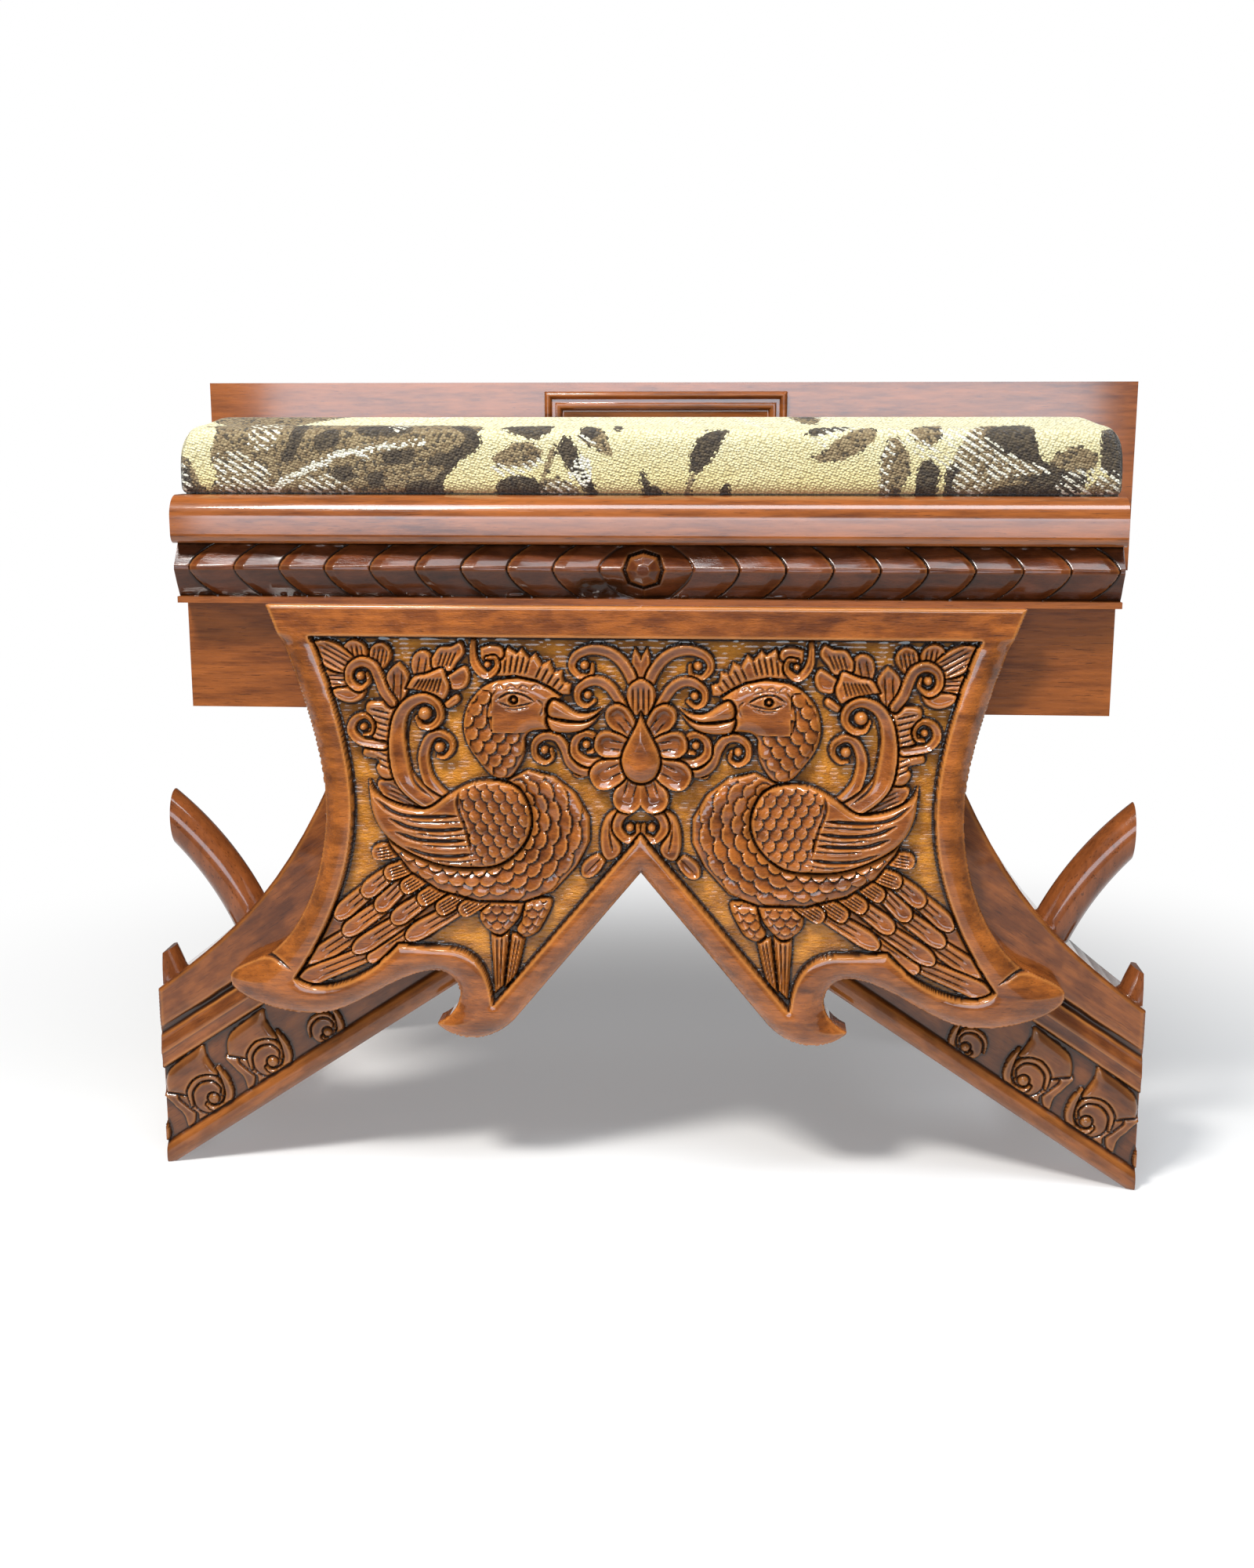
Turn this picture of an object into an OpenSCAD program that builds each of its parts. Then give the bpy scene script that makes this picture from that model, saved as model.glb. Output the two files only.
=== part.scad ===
// Carved low seat front: an A-frame trestle with a carved bird plaque, a rope-carved
// seat rail, a drop-in cushion and a low back board.
// X is the width, Y runs from the carved front (-Y) to the back board (+Y), Z is up.

/* [Overall] */
// Half of the depth, from the middle to the rope crest and to the back board's rear face
half_depth = 170; // [165:1:180]
// Half of the width of the rails, apron and deck
rail_half_w = 297; // [290:1:310]
// Half of the width of the back board
board_half_w = 365; // [340:1:380]
// Half of the spread of the feet
foot_half_w = 332; // [328:1:336]

/* [Heights] */
// Top of the front rail
rail_top_z = 460; // [458:1:464]
// Top of the deck, where the cushion lies
deck_z = 434; // [434:1:436]
// Bottom of the rails, and top of the apron and plaque
rail_bottom_z = 392; // [392:1:392]
// Bottom of the apron
apron_bottom_z = 322; // [318:1:326]
// Top of the back board
board_top_z = 537; // [530:1:560]
// Top of the cushion
cushion_top_z = 504; // [496:1:512]

/* [Thicknesses] */
// Thickness of the carved plaque
plaque_t = 26; // [24:1:28]
// Depth of the sunk field of the plaque
field_deep = 10; // [8:1:12]
// Thickness of the legs
leg_t = 44; // [40:1:46]
// Thickness of the apron, the rear rail and the legs' lap joint
board_t = 22; // [20:1:22]
// Thickness of the back board
back_t = 20; // [18:1:22]
// Diameter of the round bent rods
rod_d = 28; // [24:1:30]

/* [Cushion] */
// Wall of the cushion's fabric cover
cover_t = 1.6; // [1:0.2:2]
// Clearance between the cushion and the frame
cushion_gap = 0.4; // [0.3:0.1:1]

/* [Hidden] */

$fn = 64;
slack = 1;          // how far a cutting tool runs past the face that it cuts
curve_steps = 14;   // straight pieces in each curved stretch of an outline

// Planes across the depth
plaque_front_y = -half_depth + 6;
plaque_back_y = plaque_front_y + plaque_t;
leg_front_y = plaque_back_y;
apron_back_y = leg_front_y + board_t;
leg_back_y = leg_front_y + leg_t;
rail_face_y = -half_depth + 20;
rail_nose_y = -half_depth + 4;
rail_rebate_y = -half_depth + 34;
board_front_y = half_depth - back_t;
rear_rail_front_y = board_front_y - board_t;
rear_leg_front_y = board_front_y - leg_t;

// Rope moulding
rope_bottom_z = rail_bottom_z + 4;
rope_top_z = 430;
rope_crest_z = 412;
scallops = 20;

// Legs: the straight lower edge climbs from the toe to the centre line
leg_slope = 33.8;
toe_x = foot_half_w - 6;
lap_top_z = 404;

// Rods: concentric arcs about one centre outside the legs
rod_centre = [470, 83];
rod_y = -112;
outer_rod_r = 218;
inner_rod_r = 145;
outer_rod_end_x = 321;

// Deck
slat_t = 12;
ledger_h = 18;
ledger_w = 18;
slat_w = 70;
slat_pitch = 105;
ledger_half_w = 250;

// Fasteners
plaque_screw_places = [[-150, 352], [-60, 352], [60, 352], [150, 352], [-205, 150], [205, 150]];
board_screw_x = [-260, -130, 0, 130, 260];
lap_screw_x = [-140, -50, 50, 140];

wood = "#8a4a22";
dark_wood = "#6b3517";
light_wood = "#a4622c";

// A smooth stretch of outline from point a to point d, pulled towards b and c
function curve(a, b, c, d) = [for (i = [0 : curve_steps - 1])
    let (t = i / curve_steps, s = 1 - t)
    s * s * s * a + 3 * s * s * t * b + 3 * s * t * t * c + t * t * t * d];
function flipped(points) = [for (i = [len(points) - 1 : -1 : 0]) [-points[i].x, points[i].y]];
function both_sides(right_half) = concat(right_half, flipped(right_half));

// Stands an X-Z outline up as a board from y to y + thick
module board(y, thick) {
    translate([0, y + thick, 0]) rotate([90, 0, 0]) linear_extrude(thick) children();
}

// Runs a Y-Z outline along X, over half a width on each side
module along_x(half_w) {
    translate([-half_w, 0, 0]) rotate([90, 0, 90]) linear_extrude(2 * half_w) children();
}

module block(low, high) {
    translate(low) cube(high - low);
}

module on_side(side) {
    if (side < 0) mirror([1, 0, 0]) children();
    else children();
}

// ---- Front rail, rope moulding and apron ----

module rail_outline() {
    nose = 14;
    chin = 6;
    lip = 8;
    translate([rail_nose_y + nose, rail_top_z - nose]) circle(nose);
    translate([rail_nose_y + chin, rope_top_z + chin]) circle(chin);
    polygon([
        [rail_rebate_y, rail_top_z], [rail_nose_y + nose, rail_top_z], [rail_nose_y, rail_top_z - nose],
        [rail_nose_y, rope_top_z + chin], [rail_nose_y + chin, rope_top_z], [rail_face_y, rope_top_z],
        [rail_face_y, rope_bottom_z], [rail_face_y - lip, rope_bottom_z],
        [rail_face_y - lip, rail_bottom_z], [apron_back_y, rail_bottom_z], [apron_back_y, deck_z],
        [rail_rebate_y, deck_z]]);
}

// Tongue along the apron's top edge
module apron_tongue() {
    block([-rail_half_w, leg_front_y + 7, rail_bottom_z], [rail_half_w, leg_front_y + 15, rail_bottom_z + 10]);
}

module end_rail_tenons(side) {
    on_side(side) for (y = [apron_back_y - 12, rear_rail_front_y])
        block([rail_half_w - 16, y, rail_bottom_z + 12], [rail_half_w - 6, y + 12, deck_z - 12]);
}

module front_rail() {
    color(wood) difference() {
        along_x(rail_half_w) rail_outline();
        apron_tongue();
        end_rail_tenons(-1);
        end_rail_tenons(1);
    }
}

module rope_moulding() {
    pitch = 2 * rail_half_w / scallops;
    color(dark_wood) difference() {
        along_x(rail_half_w) polygon([
            [rail_face_y, rope_bottom_z], [rail_face_y - 7, rope_bottom_z], [-half_depth, rope_crest_z],
            [rail_face_y - 9, rope_top_z], [rail_face_y, rope_top_z]]);
        for (i = [1 : scallops - 1], lean = [-1, 1])
            translate([-rail_half_w + i * pitch, -half_depth - 1, rope_crest_z])
                rotate([0, lean * 8, 0]) rotate([0, 0, 45])
                    cube([5, 5, 60], center = true);
    }
}

module front_apron() {
    color(light_wood) difference() {
        union() {
            block([-rail_half_w, leg_front_y, apron_bottom_z], [rail_half_w, apron_back_y, rail_bottom_z]);
            apron_tongue();
        }
        plaque_screw_bores();
    }
}

// ---- Carved plaque ----

function plaque_half() = concat(
    [[0, 392], [239, 392]],
    curve([239, 392], [222, 347], [207, 302], [206, 267]),
    curve([206, 267], [205, 224], [222, 182], [246, 164]),
    curve([246, 164], [256, 158], [276, 155], [275, 145]),
    curve([275, 145], [274, 132], [240, 120], [220, 120]),
    curve([220, 120], [190, 118], [166, 148], [136, 150]),
    curve([136, 150], [118, 150], [112, 124], [136, 113]),
    curve([136, 113], [124, 101], [102, 98], [84, 117]),
    [[84, 117], [0, 219]]);

function field_half() = concat(
    [[0, 371], [211, 371]],
    curve([211, 371], [200, 342], [188, 302], [187, 267]),
    curve([187, 267], [186, 227], [198, 192], [226, 149]),
    [[226, 149]],
    curve([226, 136], [190, 134], [160, 168], [128, 167]),
    curve([128, 167], [108, 166], [99, 152], [97, 129]),
    [[97, 129], [0, 245]]);

// A bird seen from the side: tail, body with folded wing, curved neck, head and beak
module bird_outline() {
    translate([88, 255]) circle(38);
    translate([80, 323]) circle(23);
    polygon([[70, 262], [118, 262], [104, 290], [103, 330], [60, 330], [62, 300]]);
    polygon([[70, 336], [70, 306], [52, 306], [26, 308], [46, 320]]);
    polygon([[96, 280], [166, 274], [150, 236], [96, 232]]);
    polygon([[96, 238], [140, 252], [176, 208], [212, 158], [158, 172], [100, 212]]);
    polygon([[72, 230], [110, 232], [92, 150], [84, 150]]);
}

module carving() {
    board(plaque_front_y + field_deep - 6, 6) {
        for (side = [-1, 1]) scale([side, 1]) bird_outline();
        translate([0, 285]) circle(32);
    }
}

module carved_plaque() {
    color(wood) difference() {
        union() {
            difference() {
                board(plaque_front_y, plaque_t) polygon(both_sides(plaque_half()));
                board(plaque_front_y - slack, field_deep + slack) polygon(both_sides(field_half()));
            }
            carving();
        }
        plaque_screw_bores();
    }
}

// ---- Legs ----

function leg_half(end_z, pull_a, pull_b) = concat(
    [[0, apron_bottom_z], [0, 236], [30, 198], [toe_x, 0], [foot_half_w, 0]],
    curve([foot_half_w, end_z], pull_a, pull_b, [186, apron_bottom_z]),
    [[186, apron_bottom_z]]);

// A strip of the leg's face, measured square to the straight lower edge
module leg_strip(low, high, deep) {
    translate([toe_x, leg_front_y, 0]) rotate([0, leg_slope, 0])
        block([-300, -slack, low], [60, deep, high]);
}

module arc_rod(radius, from_angle, to_angle) {
    translate([rod_centre.x, rod_y, rod_centre.y]) rotate([90, 0, 0]) rotate([0, 0, from_angle])
        rotate_extrude(angle = to_angle - from_angle) translate([radius, 0]) circle(d = rod_d);
}

module outer_rod(side) {
    on_side(side) intersection() {
        arc_rod(outer_rod_r, 128, 161);
        block([200, rod_y - 30, 0], [outer_rod_end_x, rod_y + 30, 400]);
    }
}

module inner_rod(side) {
    on_side(side) intersection() {
        arc_rod(inner_rod_r, 155, 176);
        block([200, rod_y - 30, 0], [foot_half_w, rod_y + 30, 400]);
    }
}

module stretcher_body(side) {
    tenon = 20;
    on_side(side) {
        block([279, leg_back_y, 40], [301, rear_leg_front_y, 80]);
        block([283, leg_back_y - tenon, 46], [297, rear_leg_front_y + tenon, 74]);
    }
}

// Loose tongue that crosses the mitre where two legs meet
module tongue_body(y) {
    block([-30, y, 246], [30, y + 8, 306]);
}

module front_leg(side) {
    difference() {
        union() {
            on_side(side) difference() {
                board(leg_front_y, leg_t)
                    polygon(leg_half(126, [275, 170], [236, 197]));
                leg_strip(14, 60, 5);
                leg_strip(80, 84, 4);
            }
            on_side(side)
                block([0, apron_back_y, apron_bottom_z], [186, leg_back_y, lap_top_z]);
        }
        outer_rod(side);
        inner_rod(side);
        stretcher_body(side);
        tongue_body(leg_front_y + 18);
        plaque_screw_bores();
    }
}

module rear_leg(side) {
    difference() {
        on_side(side) {
            board(rear_leg_front_y, leg_t)
                polygon(leg_half(74, [285, 115], [255, 165]));
            block([0, rear_leg_front_y, apron_bottom_z], [186, rear_rail_front_y, lap_top_z]);
        }
        stretcher_body(side);
        tongue_body(rear_leg_front_y + 18);
        rear_leg_screw_bores();
    }
}

module left_front_leg() { color(light_wood) front_leg(-1); }
module right_front_leg() { color(light_wood) front_leg(1); }
module left_rear_leg() { color(wood) rear_leg(-1); }
module right_rear_leg() { color(wood) rear_leg(1); }
module front_leg_tongue() { color("burlywood") tongue_body(leg_front_y + 18); }
module rear_leg_tongue() { color("burlywood") tongue_body(rear_leg_front_y + 18); }
module left_outer_rod() { color(wood) outer_rod(-1); }
module right_outer_rod() { color(wood) outer_rod(1); }
module left_inner_rod() { color(dark_wood) inner_rod(-1); }
module right_inner_rod() { color(dark_wood) inner_rod(1); }
module left_stretcher() { color(wood) stretcher_body(-1); }
module right_stretcher() { color(wood) stretcher_body(1); }

// ---- Seat frame and deck ----

module end_rail(side) {
    on_side(side)
        block([rail_half_w - 22, apron_back_y, rail_bottom_z], [rail_half_w, rear_rail_front_y, deck_z]);
    end_rail_tenons(side);
}

module left_end_rail() { color(wood) end_rail(-1); }
module right_end_rail() { color(wood) end_rail(1); }

module rear_rail() {
    color(wood) difference() {
        block([-rail_half_w, rear_rail_front_y, apron_bottom_z], [rail_half_w, board_front_y, deck_z]);
        end_rail_tenons(-1);
        end_rail_tenons(1);
        rear_leg_screw_bores();
        board_screw_bores();
    }
}

// Triangular blocks glued in the four inner corners of the seat frame
module corner_blocks() {
    inner_x = rail_half_w - 22;
    size = 24;
    color("burlywood") for (side = [-1, 1]) on_side(side) {
        translate([inner_x, apron_back_y, rail_bottom_z + 2]) linear_extrude(size)
            polygon([[0, 0], [0, size], [-size, 0]]);
        translate([inner_x, rear_rail_front_y, rail_bottom_z + 2]) linear_extrude(size)
            polygon([[0, 0], [-size, 0], [0, -size]]);
    }
}

module ledger_body(y) {
    difference() {
        block([-ledger_half_w, y, deck_z - slat_t - ledger_h], [ledger_half_w, y + ledger_w, deck_z - slat_t]);
        slat_screw_bores();
    }
}

module front_ledger() { color("burlywood") ledger_body(apron_back_y); }
module rear_ledger() { color("burlywood") ledger_body(rear_rail_front_y - ledger_w); }

module seat_slats() {
    color(light_wood) difference() {
        for (i = [-2 : 2])
            block([i * slat_pitch - slat_w / 2, apron_back_y, deck_z - slat_t],
                  [i * slat_pitch + slat_w / 2, rear_rail_front_y, deck_z]);
        slat_screw_bores();
    }
}

// ---- Screws: each set of bores is cut with the screws' own shape ----

// A flat-headed screw with its head's top at the origin, pointing along -Z
module screw(shank_d, length) {
    translate([0, 0, -length]) cylinder(d = shank_d, h = length - 3);
    translate([0, 0, -3]) cylinder(d = 2 * shank_d, h = 3);
}

module plaque_screw_bores() {
    for (p = plaque_screw_places)
        translate([p.x, leg_back_y, p.y]) rotate([-90, 0, 0]) screw(5, leg_t + 12);
}

module rear_leg_screw_bores() {
    for (x = lap_screw_x)
        translate([x, rear_leg_front_y, 360]) rotate([90, 0, 0]) screw(5, 36);
}

module board_screw_bores() {
    for (x = board_screw_x)
        translate([x, half_depth, 413]) rotate([-90, 0, 0]) screw(5, 34);
}

module slat_screw_bores() {
    for (i = [-2 : 2], y = [apron_back_y + ledger_w / 2, rear_rail_front_y - ledger_w / 2])
        translate([i * slat_pitch, y, deck_z]) screw(4, 24);
}

module plaque_screws() { color("dimgray") plaque_screw_bores(); }
module rear_leg_screws() { color("dimgray") rear_leg_screw_bores(); }
module back_board_screws() { color("dimgray") board_screw_bores(); }
module slat_screws() { color("dimgray") slat_screw_bores(); }

// ---- Back board and its stepped moulding ----

module back_board() {
    color(wood) difference() {
        block([-board_half_w, board_front_y, rail_bottom_z], [board_half_w, half_depth, board_top_z]);
        board_screw_bores();
    }
}

module moulding_frame(half_w, low_z, high_z, strip, proud) {
    difference() {
        block([-half_w, board_front_y - proud, low_z], [half_w, board_front_y, high_z]);
        block([-half_w + strip, board_front_y - proud - slack, low_z + strip],
              [half_w - strip, board_front_y + slack, high_z - strip]);
    }
}

module outer_moulding_frame() { color(dark_wood) moulding_frame(95.5, 442, 530, 14, 9); }
module inner_moulding_frame() { color(dark_wood) moulding_frame(81.5, 456, 516, 12, 5); }

// ---- Drop-in cushion ----

// Side outline of the cushion, drawn in by an inset; its front lip hangs over the rail
function cushion_side(inset) = let (
        low = deck_z + cushion_gap + inset,
        high = cushion_top_z - inset,
        rear = half_depth - 35 - inset,
        heel = rail_rebate_y + cushion_gap + 0.2 + inset,
        lip = rail_rebate_y - 10 + inset,
        r = 14 - inset)
    concat(
        [[heel, low], [rear, low]],
        [for (a = [0 : 15 : 90]) [rear - r + r * cos(a), high - r + r * sin(a)]],
        [for (a = [90 : 15 : 180]) [lip + r + r * cos(a), high - r + r * sin(a)]],
        [[lip, rail_top_z + 6 + inset], [heel, rail_top_z + cushion_gap + 0.6 + inset]]);

cushion_half_w = rail_half_w - 1;
board_low = deck_z + cushion_gap + cover_t;
board_high = board_low + 9;
cushion_y = [rail_rebate_y + cushion_gap + 0.2, half_depth - 35];
hem = 30;           // how far the cover turns under the board

module hem_opening() {
    block([-cushion_half_w + hem, cushion_y[0] + hem, deck_z + cushion_gap],
          [cushion_half_w - hem, cushion_y[1] - hem, board_low]);
}

module tacks() {
    for (x = [-250 : 100 : 250], y = [cushion_y[0] + 15, cushion_y[1] - 15])
        translate([x, y, deck_z + cushion_gap]) {
            cylinder(d = 7, h = 0.8);
            cylinder(d = 2, h = 8);
        }
}

module cushion_inside() {
    along_x(cushion_half_w - cover_t) polygon(cushion_side(cover_t));
}

module cushion_board() {
    color("tan") difference() {
        intersection() {
            cushion_inside();
            block([-cushion_half_w, cushion_y[0], board_low], [cushion_half_w, cushion_y[1], board_high]);
        }
        tacks();
    }
}

module cushion_foam() {
    color("khaki") difference() {
        cushion_inside();
        block([-rail_half_w, -half_depth, deck_z], [rail_half_w, half_depth, board_high]);
    }
}

module cushion_cover() {
    color("wheat") difference() {
        along_x(cushion_half_w) polygon(cushion_side(0));
        cushion_inside();
        hem_opening();
        tacks();
    }
}

module cushion_tacks() { color("dimgray") tacks(); }
module cushion_dust_cover() { color("#303030") hem_opening(); }

front_rail();
rope_moulding();
front_apron();
carved_plaque();
left_front_leg();
right_front_leg();
front_leg_tongue();
left_outer_rod();
right_outer_rod();
left_inner_rod();
right_inner_rod();
left_rear_leg();
right_rear_leg();
rear_leg_tongue();
left_stretcher();
right_stretcher();
left_end_rail();
right_end_rail();
rear_rail();
corner_blocks();
front_ledger();
rear_ledger();
seat_slats();
slat_screws();
plaque_screws();
rear_leg_screws();
back_board();
back_board_screws();
outer_moulding_frame();
inner_moulding_frame();
cushion_board();
cushion_foam();
cushion_cover();
cushion_tacks();
cushion_dust_cover();
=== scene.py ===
import math

import bmesh
import bpy
import numpy as np
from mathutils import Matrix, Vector


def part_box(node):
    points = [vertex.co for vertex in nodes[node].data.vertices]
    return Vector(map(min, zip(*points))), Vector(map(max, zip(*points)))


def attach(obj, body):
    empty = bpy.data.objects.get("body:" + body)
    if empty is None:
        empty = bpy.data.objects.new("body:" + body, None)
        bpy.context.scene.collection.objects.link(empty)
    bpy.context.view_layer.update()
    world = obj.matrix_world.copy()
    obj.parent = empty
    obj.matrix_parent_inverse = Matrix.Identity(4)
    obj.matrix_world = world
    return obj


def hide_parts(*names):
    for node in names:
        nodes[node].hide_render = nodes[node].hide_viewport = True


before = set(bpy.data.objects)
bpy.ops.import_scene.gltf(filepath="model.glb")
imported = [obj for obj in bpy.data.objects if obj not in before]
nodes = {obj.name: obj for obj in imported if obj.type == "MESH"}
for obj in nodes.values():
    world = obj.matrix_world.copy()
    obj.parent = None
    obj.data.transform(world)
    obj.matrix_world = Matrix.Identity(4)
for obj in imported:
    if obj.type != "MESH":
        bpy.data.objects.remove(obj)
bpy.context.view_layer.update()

# The looks of the carved trestle seat section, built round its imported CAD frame.
# Outlines and carving are drawn in millimetres in the object's own X (width) and Z (height),
# for the half where X is positive, and mirrored. The frame gives every depth.

MM = 0.001


def span(node):
    """A node's lowest and highest corners, in millimetres."""
    low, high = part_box(node)
    return np.array(low) / MM, np.array(high) / MM


# ------------------------------------------------------------------ lines and distances

def curve(a, b, c, d, steps=14):
    """Points from a towards d on a smooth line pulled by b and c; d itself is left out."""
    a, b, c, d = (np.array(p, float) for p in (a, b, c, d))
    t = np.arange(steps)[:, None] / steps
    return list((1 - t) ** 3 * a + 3 * (1 - t) ** 2 * t * b + 3 * (1 - t) * t ** 2 * c + t ** 3 * d)


def flowing(points, spacing=1.0):
    """A smooth line through the given points."""
    p = np.array(points, float)
    if len(p) < 3:
        return p
    p = np.vstack([2 * p[0] - p[1], p, 2 * p[-1] - p[-2]])
    out = []
    for i in range(1, len(p) - 2):
        steps = max(2, int(np.hypot(*(p[i + 1] - p[i])) / spacing))
        t = np.arange(steps)[:, None] / steps
        out.append(0.5 * (2 * p[i] + (p[i + 1] - p[i - 1]) * t
                          + (2 * p[i - 1] - 5 * p[i] + 4 * p[i + 1] - p[i + 2]) * t ** 2
                          + (3 * p[i] - p[i - 1] - 3 * p[i + 1] + p[i + 2]) * t ** 3))
    return np.vstack(out + [p[-2:-1]])


def nearest(x, z, path):
    """Distance to a path, how far along it the nearest point is, which side, and that point."""
    best = np.full(x.shape, 1e9)
    along, side = np.zeros(x.shape), np.ones(x.shape)
    near_x, near_z = np.zeros(x.shape), np.zeros(x.shape)
    run = 0.0
    for (ax, az), (bx, bz) in zip(path[:-1], path[1:]):
        dx, dz = bx - ax, bz - az
        length = math.hypot(dx, dz)
        if length < 1e-9:
            continue
        t = np.clip(((x - ax) * dx + (z - az) * dz) / length ** 2, 0, 1)
        qx, qz = ax + t * dx, az + t * dz
        d = np.hypot(x - qx, z - qz)
        closer = d < best
        best[closer] = d[closer]
        along[closer] = (run + t * length)[closer]
        side[closer] = np.sign(dx * (z - qz) - dz * (x - qx))[closer]
        near_x[closer], near_z[closer] = qx[closer], qz[closer]
        run += length
    return best, along, side, near_x, near_z


def inside(x, z, outline):
    """Whether points lie inside a closed outline."""
    odd = np.zeros(x.shape, bool)
    p = np.array(outline, float)
    for (ax, az), (bx, bz) in zip(p, np.roll(p, -1, axis=0)):
        if az == bz:
            continue
        crosses = ((az > z) != (bz > z)) & (x < (bx - ax) * (z - az) / (bz - az) + ax)
        odd ^= crosses
    return odd


def path_length(path):
    return np.hypot(*np.diff(path, axis=0).T).sum()


def smooth_step(a, b, value):
    t = np.clip((value - a) / (b - a), 0, 1)
    return t * t * (3 - 2 * t)


def blurred(field, cells):
    """A soft blur: three passes of a running mean each way."""
    width = max(1, int(cells))
    for axis in (0, 1, 0, 1, 0, 1):
        pad = [(0, 0), (0, 0)]
        pad[axis] = (width + 1, width)
        total = np.cumsum(np.pad(field, pad, mode="edge"), axis=axis)
        upper = np.take(total, np.arange(2 * width + 1, total.shape[axis]), axis=axis)
        lower = np.take(total, np.arange(0, total.shape[axis] - 2 * width - 1), axis=axis)
        field = (upper - lower) / (2 * width + 1)
    return field


def patchy(shape, cells, seed):
    """Gentle random unevenness from -1 to 1, in patches of about this many grid cells."""
    noise = np.random.default_rng(seed).standard_normal(shape)
    soft = blurred(noise, cells)
    return soft / (np.abs(soft).max() + 1e-9)


# ------------------------------------------------------------------ carving in relief

EDGE = 0.9          # mm over which a carved wall climbs
GAP = 1.2           # mm of dark groove cut round a shape that lies over others


class Relief:
    """A height map on a flat grid, in millimetres. Each shape lies over the ones before it."""

    def __init__(self, low, high, step):
        self.step = step
        self.low = low
        self.x, self.z = np.meshgrid(np.arange(low[0], high[0] + step / 2, step),
                                     np.arange(low[1], high[1] + step / 2, step))
        self.h = np.zeros(self.x.shape)

    def near(self, points, reach):
        p = np.array(points, float)
        first = np.floor((p.min(axis=0) - reach - self.low) / self.step).astype(int)
        last = np.ceil((p.max(axis=0) + reach - self.low) / self.step).astype(int) + 1
        first = np.clip(first, 0, None)
        return slice(first[1], max(last[1], 1)), slice(first[0], max(last[0], 1))

    def depth(self, outline):
        """The window round a closed outline, and each point's distance inside it."""
        window = self.near(outline, GAP + 1)
        x, z = self.x[window], self.z[window]
        d = nearest(x, z, np.vstack([outline, outline[:1]]))[0]
        return window, np.where(inside(x, z, outline), d, -d)

    def lay(self, window, depth, height):
        """Lays a shape over the relief, with a groove cut round it into whatever lies below."""
        view = self.h[window]
        under = 0.3 * view
        wall = np.clip(depth / EDGE, 0, 1) ** 0.6
        groove = view * (0.3 + 0.7 * np.clip(-depth / GAP, 0, 1))
        self.h[window] = np.where(depth > 0, under + (height - under) * wall, groove)

    def band(self, points, widths, top, lean=0.0, flute=0.0):
        """A band along a line, highest along its left side when it leans left, and fluted."""
        path = flowing(points)
        window = self.near(path, 0.5 * max(widths) + GAP + 1)
        d, s, side = nearest(self.x[window], self.z[window], path)[:3]
        total = path_length(path)
        half = np.interp(s, np.linspace(0, total, len(widths)), widths) / 2
        t = np.clip(d / half, 0, 1)
        across = 0.5 * (1 - (np.sign(lean) or 1) * side * t)
        height = top * (1 - 0.12 * t ** 2 - 0.62 * abs(lean) * across ** 1.2)
        height -= flute * np.clip(1 - ((across - 0.52) / 0.26) ** 2, 0, 1)
        self.lay(window, half - d, height)

    def scroll(self, points, widths, top, eye, size, way):
        """A stem that winds into a spiral, high along its outside, with a button at its heart."""
        self.band(points, widths, top, lean=0.75 * way, flute=0.7)
        self.button(eye, size, top + 0.4)

    def button(self, centre, radius, top):
        window = self.near([centre], radius + GAP + 1)
        d = np.hypot(self.x[window] - centre[0], self.z[window] - centre[1])
        self.lay(window, radius - d, top * (1 - 0.45 * np.clip(d / radius, 0, 1) ** 2))

    def leaf(self, base, tip, width, top, low=3.0, veins=3, fat=0.55, point=0.6, dish=0.3, bend=0.0,
             groove=0.8, root=0.45, reach=0.75):
        """A petal, leaf or feather: low at its base, highest at its tip, hollow inside its rim."""
        base, tip = np.array(base, float), np.array(tip, float)
        length = np.hypot(*(tip - base))
        along = (tip - base) / length
        across = np.array([-along[1], along[0]])
        t = 1 - (1 - np.linspace(0, 1, 22)) ** 1.5
        swell = root + (1 - root) * np.sin(0.5 * math.pi * np.clip(t / fat, 0, 1))
        close = np.clip(1 - (np.clip(t - fat, 0, None) / (1 - fat)) ** 2, 0, 1) ** point
        half = 0.5 * width * swell * close
        middle = base + t[:, None] * length * along + (bend * np.sin(math.pi * t))[:, None] * across
        offset = half[:, None] * across
        outline = np.vstack([middle + offset, (middle - offset)[::-1]])
        window, depth = self.depth(outline)
        rx, rz = self.x[window] - base[0], self.z[window] - base[1]
        u = np.clip((rx * along[0] + rz * along[1]) / length, 0, 1)
        v = rx * across[0] + rz * across[1] - bend * np.sin(math.pi * u)
        height = low + (top - low) * u ** 0.7
        height *= 1 - dish * smooth_step(0.7, 0.7 + 0.3 * width, depth)
        if veins:
            lanes = v * veins / (0.9 * width) + 0.5 * (veins % 2)
            line = np.abs(lanes - np.round(lanes)) * 0.9 * width / veins
            fades = smooth_step(reach + 0.1, reach - 0.1, u)
            height -= groove * smooth_step(0.8, 0.2, line) * fades
        self.lay(window, depth, height)

    def mound(self, outline, top, slope, low=0.0, dish=0.0, rounded=True):
        """A raised shape with rounded shoulders; returns its window and the depth inside it."""
        outline = np.array(outline, float)
        if rounded:
            outline = flowing(np.vstack([outline, outline[:1]]), 1.5)[:-1]
        window, depth = self.depth(outline)
        rise = np.sqrt(1 - (1 - np.clip(depth / slope, 0, 1)) ** 2)
        height = low + (top - low) * rise - dish * smooth_step(0.9, 4.0, depth)
        self.lay(window, depth, height)
        return window, depth

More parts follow.
